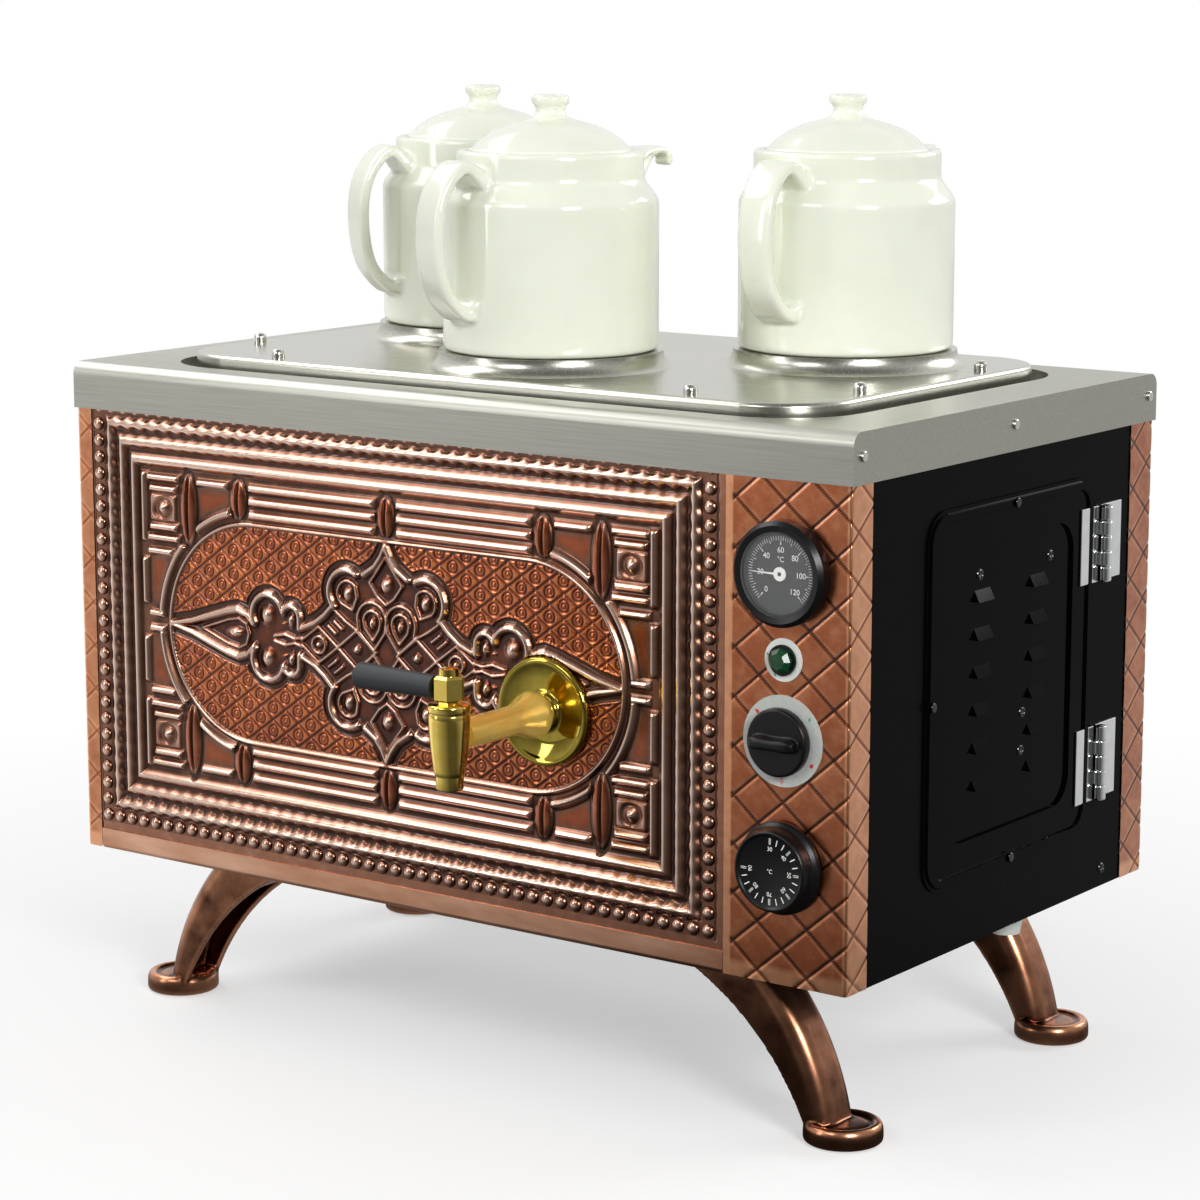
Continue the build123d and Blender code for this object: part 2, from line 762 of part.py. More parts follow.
def cable_gland():
    flange_low = base_z - gland_flange_height
    cap_low = flange_low - gland_cap_height
    nut_top = base_z + pan_sheet + gland_nut_height
    points = [
        (gland_bore_radius, cap_low),
        (gland_cap_end_radius, cap_low),
        (gland_flange_radius - gland_nut_height / 2, flange_low - gland_cap_height / 2),
        (gland_flange_radius - gland_nut_height / 2, flange_low),
        (gland_flange_radius, flange_low),
        (gland_flange_radius, base_z),
        (gland_body_radius, base_z),
        (gland_body_radius, nut_top),
        (gland_bore_radius, nut_top),
    ]
    return Pos(gland_x, gland_y, 0) * turned(points)


def gland_nut():
    low = base_z + pan_sheet
    ring = Pos(0, 0, low) * extrude(RegularPolygon(gland_flange_radius, 6), amount=gland_nut_height)
    ring -= disc(gland_body_radius + run_gap, low - cut_overrun, low + gland_nut_height + cut_overrun)
    return Pos(gland_x, gland_y, 0) * ring


# Tank, lid and heaters

def water_tank():
    tank = rounded_block(tank_half_x, tank_half_y, tank_corner, tank_bottom_z, flange_top)
    tank += opening_block(tray_sheet + fit_gap, rebate_floor, flange_top)
    tank -= rounded_block(tank_half_x - tank_sheet, tank_half_y - tank_sheet, tank_corner - tank_sheet,
                          tank_bottom_z + tank_sheet, flange_top + cut_overrun)
    shank = disc(tap_pipe_radius + fit_gap, -tank_sheet - cut_overrun, cut_overrun)
    tank -= front_at(tap_x, tap_z, -tank_half_y) * shank
    neck = disc(element_neck_radius + fit_gap, -tank_sheet - cut_overrun, cut_overrun)
    return tank - side_at(element_y, element_z, tank_half_x) * neck


def lid_gasket():
    ring = rounded_block(lid_half_x, lid_half_y, lid_corner, flange_top, gasket_top)
    half_x = lid_half_x - gasket_width
    half_y = lid_half_y - gasket_width
    return ring - rounded_block(half_x, half_y, lid_corner - gasket_width,
                                flange_top - cut_overrun, gasket_top + cut_overrun)


def pot_collar():
    # Flared seat pressed up out of the lid, with an inward lip under the pot
    under = lid_top - tray_sheet
    lip_under = pot_seat - tray_sheet
    waist = (collar_waist_radius, 0, lid_top + collar_waist_height)
    inner_waist = (collar_waist_radius - tray_sheet, 0, under + collar_waist_height)
    outline = [
        ThreePointArc((collar_base_radius, 0, lid_top), waist, (collar_top_radius, 0, pot_seat)),
        Line((collar_top_radius, 0, pot_seat), (collar_lip_radius, 0, pot_seat)),
        Line((collar_lip_radius, 0, pot_seat), (collar_lip_radius, 0, lip_under)),
        Line((collar_lip_radius, 0, lip_under), (collar_top_radius - tray_sheet, 0, lip_under)),
        ThreePointArc((collar_top_radius - tray_sheet, 0, lip_under), inner_waist,
                      (collar_base_radius - tray_sheet, 0, under)),
        Line((collar_base_radius - tray_sheet, 0, under), (collar_base_radius, 0, under)),
        Line((collar_base_radius, 0, under), (collar_base_radius, 0, lid_top)),
    ]
    return revolve(make_face(outline), Axis.Z)


def tank_lid():
    lid = rounded_block(lid_half_x, lid_half_y, lid_corner, gasket_top, lid_top)
    lid = fillet(lid.edges().group_by(Axis.Z)[-1], lid_edge_round)
    inside = rounded_block(lid_half_x - tray_sheet, lid_half_y - tray_sheet, lid_corner - tray_sheet,
                           gasket_top - cut_overrun, lid_top - tray_sheet)
    lid -= fillet(inside.edges().group_by(Axis.Z)[-1], lid_edge_round - tray_sheet)
    collar = pot_collar()
    low, high = lid_top - cut_overrun, lid_top + cut_overrun
    for x, y in pot_places:
        lid -= Pos(x, y, 0) * disc(collar_base_radius, low, high)
        lid += Pos(x, y, 0) * collar
    stud_hole = disc(stud_radius + stud_clearance, low, high)
    return lid - [Pos(x, y, 0) * stud_hole for x, y in stud_places]


def lid_studs():
    nut = disc(nut_radius, lid_top, lid_top + nut_height + nut_dome)
    nut = fillet(nut.edges().group_by(Axis.Z)[-1], nut_dome)
    stud = nut + disc(stud_radius, flange_top, lid_top)
    return Compound([Pos(x, y, 0) * stud for x, y in stud_places])


def heating_element():
    # Flanged immersion heater, screwed through the right wall of the tank
    head = disc(element_flange_radius, 0, element_flange_height)
    head += disc(element_neck_radius, -tank_sheet - element_nut_height, 0)
    start = -tank_sheet - element_nut_height
    bend = element_loop_half
    path = [
        Line((bend, 0, start), (bend, 0, start - element_length)),
        ThreePointArc((bend, 0, start - element_length), (0, 0, start - element_length - bend),
                      (-bend, 0, start - element_length)),
        Line((-bend, 0, start - element_length), (-bend, 0, start)),
    ]
    section = Plane(origin=(bend, 0, start), z_dir=(0, 0, -1)) * Circle(element_tube_radius)
    head += sweep(section, Wire(path))
    terminal = disc(terminal_radius, element_flange_height, element_flange_height + terminal_length)
    for x in (-bend, bend):
        head += Pos(x, 0, 0) * terminal
    return side_at(element_y, element_z, tank_half_x) * head


def element_nut():
    high = -tank_sheet
    low = high - element_nut_height
    ring = Pos(0, 0, low) * extrude(RegularPolygon(element_nut_radius, 6), amount=element_nut_height)
    ring -= disc(element_neck_radius + run_gap, low - cut_overrun, high + cut_overrun)
    return side_at(element_y, element_z, tank_half_x) * ring


def gas_burner():
    low = burner_top_z - burner_height
    points = [
        (0, base_z + pan_sheet),
        (burner_post_radius, base_z + pan_sheet),
        (burner_post_radius, low),
        (burner_radius, low + burner_height / 2),
        (burner_radius, burner_top_z),
        (burner_cap_radius, burner_top_z),
        (burner_cap_radius, burner_top_z + burner_cap_height),
        (0, burner_top_z + burner_cap_height),
    ]
    foot = block(-air_hole_radius - burner_post_radius, air_hole_radius + burner_post_radius,
                 -burner_post_radius, burner_post_radius, base_z + pan_sheet, base_z + 2 * pan_sheet)
    burner = turned(points) + foot
    inlet = Rot(90, 0, 0) * disc(gas_pipe_radius + run_gap, -burner_post_radius - cut_overrun, 0)
    return burner - Pos(0, 0, gas_pipe_z) * inlet


def gas_pipe():
    # Runs from the burner post through the back panel and ends in a threaded inlet
    start = burner_post_radius / 2
    outside = panel_y - start
    flange = outside + inlet_flange_height
    end = flange + inlet_thread_length
    points = [
        (gas_pipe_bore, 0),
        (gas_pipe_radius, 0),
        (gas_pipe_radius, outside),
        (inlet_flange_radius, outside),
        (inlet_flange_radius, flange),
        (inlet_thread_radius, flange),
        (inlet_thread_radius, end),
        (gas_pipe_bore, end),
    ]
    return Pos(0, start, gas_pipe_z) * Rot(-90, 0, 0) * turned(points)


# Controls

def thermometer_case():
    # Bezel and cup in one moulding, open to the front for the glass
    window = bezel_radius - bezel_lip
    glass_seat = bezel_height - glass_sheet - needle_sheet
    dial_seat = bezel_height - dial_depth - dial_sheet
    points = [
        (0, -case_depth),
        (case_radius, -case_depth),
        (case_radius, 0),
        (bezel_radius, 0),
        (bezel_radius, bezel_height - bezel_round),
        (bezel_radius - bezel_round, bezel_height),
        (window, bezel_height - needle_sheet),
        (window, glass_seat),
        (window - case_wall, glass_seat),
        (window - case_wall, dial_seat),
        (window - 2 * case_wall, dial_seat),
        (window - 2 * case_wall, case_wall - case_depth),
        (0, case_wall - case_depth),
    ]
    return front_at(control_x, thermometer_z) * turned(points)


def thermometer_dial():
    low = bezel_height - dial_depth - dial_sheet
    face = low + dial_sheet
    radius = bezel_radius - bezel_lip - case_wall - run_gap
    dial = disc(radius, low, face) + disc(dial_pin_radius, face, face + needle_gap + needle_sheet)
    return front_at(control_x, thermometer_z) * dial


def thermometer_needle():
    # Points to the left at rest, about twenty degrees on the scale
    low = bezel_height - dial_depth + needle_gap
    blade = make_face(Polyline((needle_tail, needle_half_width), (needle_tail, -needle_half_width),
                               (-needle_length, 0), close=True))
    needle = extrude(blade + Circle(needle_hub_radius), amount=needle_sheet)
    needle -= disc(dial_pin_radius + run_gap, -cut_overrun, cut_overrun)
    return front_at(control_x, thermometer_z) * Pos(0, 0, low) * needle


def thermometer_glass():
    low = bezel_height - glass_sheet - needle_sheet
    pane = disc(bezel_radius - bezel_lip - run_gap, low, low + glass_sheet)
    return front_at(control_x, thermometer_z) * pane


def pilot_disc():
    ring = disc(pilot_disc_radius, 0, pilot_disc_sheet)
    ring -= disc(pilot_stem_radius + run_gap, -cut_overrun, cut_overrun)
    return front_at(control_x, pilot_z) * ring


def pilot_holder():
    # Flange on the disc, stem through the strip and a nut behind it
    behind = -panel_sheet
    holder = disc(pilot_flange_radius, pilot_disc_sheet, pilot_disc_sheet + pilot_nut_height / 2)
    holder += disc(pilot_stem_radius, -pilot_depth, pilot_disc_sheet)
    holder += disc(pilot_flange_radius, behind - pilot_nut_height, behind)
    return front_at(control_x, pilot_z) * holder


def pilot_lens():
    low = pilot_disc_sheet + pilot_nut_height / 2
    outline = RegularPolygon(pilot_lens_radius, pilot_lens_facets)
    lens = Pos(0, 0, low) * extrude(outline, amount=pilot_lens_height)
    lens = chamfer(lens.edges().group_by(Axis.Z)[-1], pilot_lens_height / 2)
    return front_at(control_x, pilot_z) * lens


def selector_dial():
    plate = disc(selector_dial_radius, 0, selector_dial_sheet)
    plate -= disc(spindle_bush_radius + fit_gap, -cut_overrun, cut_overrun)
    return front_at(control_x, selector_z) * plate


def control_body(half_x, half_z, depth, z, bush_height):
    # Body behind the strip, with a bush through it for the spindle
    shell = Box(2 * half_x, 2 * half_z, depth, align=(Align.CENTER, Align.CENTER, Align.MAX))
    shell = fillet(shell.edges().filter_by(Axis.Z), panel_tuck)
    shell = Pos(0, 0, -panel_sheet) * shell
    shell += disc(spindle_bush_radius, -panel_sheet, bush_height)
    shell -= disc(spindle_radius + run_gap, -panel_sheet - spindle_seat, bush_height + cut_overrun)
    return front_at(control_x, z) * shell


def control_spindle(z, low, high):
    return front_at(control_x, z) * disc(spindle_radius, low, high)


def selector_knob():
    # Round skirt with a straight grip bar, its pointer end to the left
    low = selector_dial_sheet + knob_gap
    skirt_top = low + selector_skirt_height
    knob = turned([
        (0, low),
        (selector_skirt_radius, low),
        (selector_crown_radius, skirt_top),
        (0, skirt_top),
    ])
    grip = Rectangle(2 * selector_crown_radius, selector_grip_width)
    bar = extrude(fillet(grip.vertices(), selector_grip_width / 3), amount=selector_height - low)
    knob += Pos(0, 0, low) * bar
    knob -= disc(spindle_radius + run_gap, low - cut_overrun, low + spindle_seat)
    return front_at(control_x, selector_z) * knob


def thermostat_knob():
    low = knob_gap
    skirt_top = low + thermostat_skirt_height
    face = low + thermostat_height
    knob = turned([
        (0, low),
        (thermostat_skirt_radius, low),
        (thermostat_skirt_radius, skirt_top),
        (thermostat_crown_radius, face),
        (thermostat_crown_radius - thermostat_crown_dish, face),
        (thermostat_crown_radius - 2 * thermostat_crown_dish, face - thermostat_crown_dish),
        (0, face - thermostat_crown_dish),
    ])
    knob -= disc(spindle_bush_radius + spindle_bush_clearance, low - cut_overrun, skirt_top)
    knob -= disc(spindle_radius + run_gap, low, skirt_top + spindle_seat / 2)
    return front_at(control_x, thermostat_z) * knob


# Brass tap

def tap_rosette():
    field = rosette_radius - rosette_rim_width
    points = [
        (tap_pipe_radius + fit_gap, 0),
        (rosette_radius, 0),
        (rosette_radius, rosette_rim_height / 2),
        (rosette_radius - rosette_rim_width / 2, rosette_rim_height),
        (field, rosette_sheet),
        (tap_pipe_radius + fit_gap, rosette_sheet),
    ]
    return front_at(tap_x, tap_z, -panel_y) * turned(points)


def tap_pipe():
    # Shank through the tank wall, neck and bell on the rosette, pipe out to the tap body
    inside = -(panel_y - tank_half_y) - tank_sheet - tap_nut_height - tap_shank_end
    bell = rosette_sheet + collar_neck_length
    cone = bell + collar_bell_length
    cone_end = cone + collar_cone_length
    reach = tap_reach - tap_body_foot_radius
    back = [
        (tap_pipe_bore, inside),
        (tap_pipe_radius, inside),
        (tap_pipe_radius, bell),
        (collar_bell_radius - collar_bell_round, bell),
        (collar_bell_radius, bell + collar_bell_round),
        (collar_bell_radius, cone),
    ]
    waist = ((collar_bell_radius + tap_pipe_radius) / 2 - collar_cone_swell, 0, (cone + cone_end) / 2)
    front = [(tap_pipe_radius, cone_end), (tap_pipe_radius, reach), (tap_pipe_bore, reach), back[0]]
    outline = [
        Polyline(*[(r, 0, z) for r, z in back]),
        ThreePointArc((collar_bell_radius, 0, cone), waist, (tap_pipe_radius, 0, cone_end)),
        Polyline(*[(r, 0, z) for r, z in front]),
    ]
    pipe = front_at(tap_x, tap_z, -panel_y) * revolve(make_face(outline), Axis.Z)
    return pipe - tap_body_blank(run_gap)


def tap_nut():
    low = -tank_sheet - tap_nut_height
    ring = Pos(0, 0, low) * extrude(RegularPolygon(tap_nut_radius, 6), amount=tap_nut_height)
    ring -= disc(tap_pipe_radius + run_gap, low - cut_overrun, cut_overrun)
    return front_at(tap_x, tap_z, -tank_half_y) * ring


def tap_body_blank(grow):
    low = -tap_nozzle_drop
    points = [
        (0, low),
        (tap_nozzle_radius + grow, low),
        (tap_nozzle_radius + grow, -tap_body_bottom),
        (tap_body_foot_radius + grow, -tap_body_bottom),
        (tap_body_top_radius + grow, tap_body_top - tap_body_top_radius),
        (tap_body_top_radius + grow, tap_body_top),
        (0, tap_body_top),
    ]
    return Pos(tap_x, -panel_y - tap_reach, tap_z) * turned(points)


def tap_body():
    centre = Pos(tap_x, -panel_y - tap_reach, tap_z)
    body = tap_body_blank(0)
    body -= centre * disc(tap_outlet_radius, -tap_nozzle_drop - cut_overrun, 0)
    plug_low = tap_body_top - tap_plug_length
    body -= centre * disc(tap_plug_radius + run_gap, plug_low, tap_body_top + cut_overrun)
    inlet = disc(tap_pipe_bore, 0, tap_body_top_radius + cut_overrun)
    return body - centre * Rot(-90, 0, 0) * inlet


def tap_spindle():
    # Plug in the body, slotted hexagon above it and the rod that carries the lever sleeve
    hex_low = tap_body_top + tap_hex_gap
    hex_high = hex_low + tap_hex_height
    spindle = disc(tap_plug_radius, tap_body_top - tap_plug_length + fit_gap, hex_low)
    head = extrude(RegularPolygon(tap_hex_across / 2, 6, major_radius=False), amount=tap_hex_height)
    spindle += Pos(0, 0, hex_low) * head
    slot = block(-tap_hex_across, tap_hex_across, -tap_slot_width / 2, tap_slot_width / 2,
                 hex_high - tap_slot_depth, hex_high + cut_overrun)
    spindle -= slot
    rod_z = tap_body_top + lever_rise
    spindle += Pos(0, 0, rod_z) * Rot(0, -90, 0) * disc(lever_rod_radius, 0, lever_start + lever_rod_length)
    return Pos(tap_x, -panel_y - tap_reach, tap_z) * spindle


def tap_lever():
    sleeve = turned([
        (0, lever_start),
        (lever_root_radius, lever_start),
        (lever_tip_radius, lever_start + lever_length - lever_tip_radius / 2),
        (lever_tip_radius / 2, lever_start + lever_length),
        (0, lever_start + lever_length),
    ])
    sleeve -= disc(lever_rod_radius + run_gap, 0, lever_start + lever_rod_length + fit_gap)
    place = Pos(tap_x, -panel_y - tap_reach, tap_z + tap_body_top + lever_rise)
    return place * Rot(0, -90, 0) * sleeve


# Door of the right side

def door_outline(inset, corner):
    return RectangleRounded(2 * (door_half_y - inset), 2 * (door_half_z - inset), corner)


def louvre():
    # Slot with a hood over it, pressed out of the door panel
    slope = Polyline((0, 0, 0), (louvre_hood_rise, 0, 0), (0, 0, louvre_hood_length), close=True)
    hood = extrude(make_face(slope), amount=louvre_length / 2, dir=(0, 1, 0), both=True)
    inside_half = louvre_length / 2 - louvre_hood_sheet
    inside_rise = louvre_hood_rise - louvre_hood_sheet
    inside_length = louvre_hood_length - louvre_hood_sheet * louvre_hood_length / louvre_hood_rise
    slope = Polyline((0, 0, 0), (inside_rise, 0, 0), (0, 0, inside_length), close=True)
    return hood - extrude(make_face(slope), amount=inside_half, dir=(0, 1, 0), both=True)


def door():
    sheet = extrude(door_outline(0, door_corner), amount=door_sheet)
    rim = door_outline(door_rim_inset, door_corner - door_rim_inset)
    rim -= door_outline(door_rim_inset + door_rim_width, door_corner - door_rim_inset - door_rim_width)
    sheet += Pos(0, 0, door_sheet) * extrude(rim, amount=door_rim_height, taper=door_rim_taper_angle)
    pan = door_outline(door_panel_inset, door_panel_corner)
    floor = extrude(pan, amount=door_sheet + door_panel_depth)
    hollow = extrude(door_outline(door_panel_inset + door_sheet, door_panel_corner - door_sheet),
                     amount=door_panel_depth + cut_overrun)
    sheet -= extrude(pan, amount=cut_overrun, both=True)
    sheet += Pos(0, 0, -door_panel_depth) * (floor - Pos(0, 0, door_sheet) * hollow)
    leaf = side_at(door_y, door_z, panel_x + fit_gap) * sheet
    floor_x = panel_x + fit_gap + door_sheet - door_panel_depth
    slot = block(floor_x - cut_overrun, floor_x + cut_overrun, louvre_hood_sheet - louvre_length / 2,
                 louvre_length / 2 - louvre_hood_sheet, 0, louvre_slot)
    hood = Pos(floor_x, 0, 0) * louvre()
    top = door_z + door_half_z - louvre_top_drop
    for row in range(louvre_rows):
        for side in (-1, 1):
            place = Pos(0, door_y + side * louvre_pitch_y / 2, top - row * louvre_pitch_z)
            leaf = leaf - place * slot + place * hood
    return leaf


def knuckle_spans(fixed):
    # The first, third and fifth knuckles are on the fixed leaf
    step = hinge_height / hinge_knuckles
    for place in hinge_places:
        for index in range(hinge_knuckles):
            if (index % 2 == 0) == fixed:
                low = door_z + place - hinge_height / 2 + index * step
                yield low + knuckle_gap / 2, low + step - knuckle_gap / 2


def hinge_leaves(fixed):
    plate_x = panel_x if fixed else rim_face
    near = knuckle_radius + hinge_tab_gap
    y_low, y_high = (near, near + hinge_leaf_width) if fixed else (-near - hinge_leaf_width, -near)
    tab_low, tab_high = (0, near) if fixed else (-near, 0)
    plate_out = plate_x + hinge_sheet
    leaves = []
    for place in hinge_places:
        low = door_z + place - hinge_height / 2
        leaf = block(plate_x, plate_out, hinge_y + y_low, hinge_y + y_high, low, low + hinge_height)
        for span_low, span_high in knuckle_spans(fixed):
            if low <= span_low < low + hinge_height:
                leaf += block(plate_x, plate_out, hinge_y + tab_low, hinge_y + tab_high, span_low, span_high)
                leaf += Pos(hinge_x, hinge_y, 0) * disc(knuckle_radius, span_low, span_high)
        bore = disc(hinge_pin_radius + run_gap, low - cut_overrun, low + hinge_height + cut_overrun)
        leaves.append(leaf - Pos(hinge_x, hinge_y, 0) * bore)
    return Compound(leaves)


def hinge_pins():
    half = hinge_height / 2 + knuckle_gap
    pin = disc(hinge_pin_radius, -half, half)
    return Compound([Pos(hinge_x, hinge_y, door_z + place) * pin for place in hinge_places])


def door_screws():
    head = disc(screw_radius, 0, screw_height)
    head = fillet(head.edges().group_by(Axis.Z)[-1], screw_height / 2)
    reach = door_half_y - rim_screw_inset
    rise = door_half_z - rim_screw_inset
    places = [(door_y, door_z + rise), (door_y, door_z - rise), (door_y - reach, door_z)]
    return Compound([side_at(y, z, rim_face) * head for y, z in places])


# Teapots, with the handle to local -X and the spout to local +X

def shoulder_curve(low, high, bulge):
    # Convex arc off the wall, then a concave one into the neck
    middle = ((low[0] + high[0]) / 2, (low[1] + high[1]) / 2)
    lower = ((low[0] + middle[0]) / 2 + bulge, (low[1] + middle[1]) / 2 + bulge)
    upper = ((middle[0] + high[0]) / 2 - bulge, (middle[1] + high[1]) / 2 - bulge)
    points = [(r, 0, z) for r, z in (low, lower, middle, upper, high)]
    return [ThreePointArc(*points[:3]), ThreePointArc(*points[2:])]


def pot_outside():
    foot = [
        (0, pot_height),
        (0, pot_foot_recess),
        (pot_foot_in, pot_foot_recess),
        (pot_foot_in, 0),
        (pot_foot_out, 0),
        (pot_radius, pot_foot_round),
        (pot_radius, pot_shoulder_z),
    ]
    rim = [
        (pot_neck_radius, pot_neck_z),
        (pot_neck_radius, pot_height - pot_rim_round),
        (pot_neck_radius - pot_rim_round, pot_height),
        (0, pot_height),
    ]
    outline = [Polyline(*[(r, 0, z) for r, z in run]) for run in (foot, rim)]
    outline += shoulder_curve(foot[-1], rim[0], pot_shoulder_swell)
    return revolve(make_face(outline), Axis.Z)


def pot_hollow():
    # Room for the tea, the ledge and the mouth that takes the lid
    ledge_z = pot_height - pot_ledge_depth
    neck_in = pot_neck_radius - pot_wall
    wall_in = pot_radius - pot_wall
    under_ledge = ledge_z - pot_ledge_sheet - (neck_in - pot_ledge_radius)
    high = spout_top_z + cut_overrun
    low = [
        (0, high),
        (0, pot_floor),
        (wall_in - pot_wall, pot_floor),
        (wall_in, pot_floor + pot_wall),
        (wall_in, pot_shoulder_z - pot_wall),
    ]
    neck = [
        (neck_in, under_ledge),
        (pot_ledge_radius, ledge_z - pot_ledge_sheet),
        (pot_ledge_radius, ledge_z),
        (pot_mouth_radius, ledge_z),
        (pot_mouth_radius, high),
        (0, high),
    ]
    outline = [Polyline(*[(r, 0, z) for r, z in run]) for run in (low, neck)]
    outline += shoulder_curve(low[-1], neck[0], pot_shoulder_swell)
    return revolve(make_face(outline), Axis.Z)


def pot_handle():
    # Strap along a bowed curve, from the shoulder to the lower wall
    path = Spline(*[(-pot_radius - reach, 0, z) for reach, z in zip(handle_reaches, handle_heights)])
    section = Plane(origin=path @ 0, x_dir=(0, 1, 0), z_dir=path % 0)
    strap = section * RectangleRounded(handle_width, handle_thick, handle_round)
    return sweep(strap, path)


def spout_plan(inset, z_low, z_high):
    # Top view of the lip, wide at the neck and narrow at the curl
    root = pot_mouth_radius - pot_wall
    tip = pot_radius + spout_reach - spout_curl_radius + inset
    plan = make_face(Polyline(
        (root, inset - spout_root_half),
        (tip, inset - spout_tip_half),
        (tip, spout_tip_half - inset),
        (root, spout_root_half - inset),
        close=True,
    ))
    return Pos(0, 0, z_low) * extrude(plan, amount=z_high - z_low)


def spout():
    # Lip out of the neck, thin at its end and curled under like a hook
    root = pot_mouth_radius - pot_wall
    tip = pot_radius + spout_reach - spout_curl_radius
    side = make_face(Polyline(
        (root, 0, spout_low_z),
        (pot_neck_radius, 0, spout_low_z),
        (pot_neck_radius + spout_knee, 0, spout_top_z - spout_depth),
        (tip, 0, spout_top_z - spout_wall),
        (tip, 0, spout_top_z),
        (root, 0, spout_top_z),
        close=True,
    ))
    lip = extrude(side, amount=spout_root_half, dir=(0, 1, 0), both=True)
    lip &= spout_plan(0, 0, spout_top_z)
    ring = Circle(spout_curl_radius) - Circle(spout_curl_radius - spout_wall)
    ring -= Pos(-spout_curl_radius, 0) * Rectangle(2 * spout_curl_radius, 2 * spout_curl_radius)
    hook = Pos(tip, 0, spout_top_z - spout_curl_radius) * Rot(90, 0, 0)
    return lip + hook * extrude(ring, amount=spout_tip_half, both=True)


def teapot():
    pot = pot_outside() + pot_handle() + spout()
    pot -= spout_plan(spout_wall, spout_top_z - spout_channel, spout_top_z + cut_overrun)
    return pot - pot_hollow()


def teapot_lid():
    low = pot_height - pot_ledge_depth + pot_seat_gap
    edge = pot_mouth_radius - lid_edge_gap
    edge_top = low + lid_edge_height
    dome_top = edge_top + lid_dome_rise
    under_top = dome_top - lid_wall
    dome_edge = pot_mouth_radius - lid_dome_inset
    skirt = pot_ledge_radius - lid_skirt_gap
    inner = skirt - lid_wall
    # Point of the dome, halfway along, lifted off the chord
    lift = lid_dome_rise / 6
    dome_mid = ((dome_edge + knob_root_radius) / 2, 0, (edge_top + dome_top) / 2 + lift)
    under_mid = (inner / 2, 0, (low + under_top) / 2 + lift)
    knob = [
        (knob_root_radius, dome_top),
        (knob_neck_radius, dome_top + knob_neck_rise),
        (knob_top_radius, dome_top + knob_top_rise),
        (knob_top_radius, dome_top + knob_height - knob_neck_rise / 2),
        (knob_neck_radius, dome_top + knob_height),
        (0, dome_top + knob_height),
        (0, under_top),
    ]
    rim = [
        (inner, low),
        (inner, low - lid_skirt_depth),
        (skirt, low - lid_skirt_depth),
        (skirt, low),
        (edge, low),
        (edge, edge_top - lid_edge_gap),
        (dome_edge, edge_top),
    ]
    outline = [
        ThreePointArc((dome_edge, 0, edge_top), dome_mid, (knob_root_radius, 0, dome_top)),
        Polyline(*[(r, 0, z) for r, z in knob]),
        ThreePointArc((0, 0, under_top), under_mid, (inner, 0, low)),
        Polyline(*[(r, 0, z) for r, z in rim]),
    ]
    return revolve(make_face(outline), Axis.Z)


nodes = {
    "top_tray": top_tray(),
    "tray_end_cap_left": end_cap(-1),
    "tray_end_cap_right": end_cap(1),
    "end_cap_rivets": end_cap_rivets(),
    "front_panel": front_panel(),
    "control_strip": control_strip(),
    "front_left_strip": front_left_strip(),
    "rear_left_strip": rear_left_strip(),
    "rear_right_strip": rear_right_strip(),
    "front_bottom_rail": front_bottom_rail(),
    "left_side_panel": mirror(side_panel(), Plane.YZ),
    "right_side_panel": right_side_panel(),
    "back_panel": back_panel(),
    "base_pan": base_pan(),
    "leg_bolts": leg_bolts(),
    "cable_gland": cable_gland(),
    "gland_nut": gland_nut(),
    "water_tank": water_tank(),
    "lid_gasket": lid_gasket(),
    "tank_lid": tank_lid(),
    "lid_studs": lid_studs(),
    "heating_element": heating_element(),
    "element_nut": element_nut(),
    "gas_burner": gas_burner(),
    "gas_pipe": gas_pipe(),
    "thermometer_case": thermometer_case(),
    "thermometer_dial": thermometer_dial(),
    "thermometer_needle": thermometer_needle(),
    "thermometer_glass": thermometer_glass(),
    "pilot_disc": pilot_disc(),
    "pilot_holder": pilot_holder(),
    "pilot_lens": pilot_lens(),
    "selector_dial": selector_dial(),
    "selector_switch": control_body(
        switch_half_x, switch_half_z, switch_depth, selector_z, selector_dial_sheet),
    "selector_spindle": control_spindle(
        selector_z, -panel_sheet - spindle_seat + fit_gap, selector_dial_sheet + spindle_seat),
    "selector_knob": selector_knob(),
    "thermostat_body": control_body(
        thermostat_half_x, thermostat_half_z, thermostat_depth, thermostat_z, thermostat_skirt_height / 2),
    "thermostat_spindle": control_spindle(
        thermostat_z, -panel_sheet - spindle_seat + fit_gap, thermostat_skirt_height + spindle_seat / 2),
    "thermostat_knob": thermostat_knob(),
    "tap_rosette": tap_rosette(),
    "tap_pipe": tap_pipe(),
    "tap_nut": tap_nut(),
    "tap_body": tap_body(),
    "tap_spindle": tap_spindle(),
    "tap_lever": tap_lever(),
    "door": door(),
    "hinge_leaves_fixed": hinge_leaves(True),
    "hinge_leaves_door": hinge_leaves(False),
    "hinge_pins": hinge_pins(),
    "door_screws": door_screws(),
}

right_leg = leg()
nodes["leg_front_right"] = right_leg
nodes["leg_front_left"] = mirror(right_leg, Plane.YZ)
nodes["leg_rear_right"] = mirror(right_leg, Plane.XZ)
nodes["leg_rear_left"] = mirror(mirror(right_leg, Plane.XZ), Plane.YZ)

pot = teapot()
pot_lid = teapot_lid()
for name, (x, y), turn in zip(("left", "centre", "right"), pot_places, pot_turn_angles):
    place = Pos(x, y, pot_base) * Rot(0, 0, turn + 180)
    nodes[f"teapot_{name}"] = place * pot
    nodes[f"teapot_lid_{name}"] = place * pot_lid

os.makedirs("parts", exist_ok=True)
for name, shape in nodes.items():
    export_step(shape, f"parts/{name}.step")
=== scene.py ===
import json
import math

import bmesh
import bpy
import numpy as np
from mathutils import Matrix, Vector


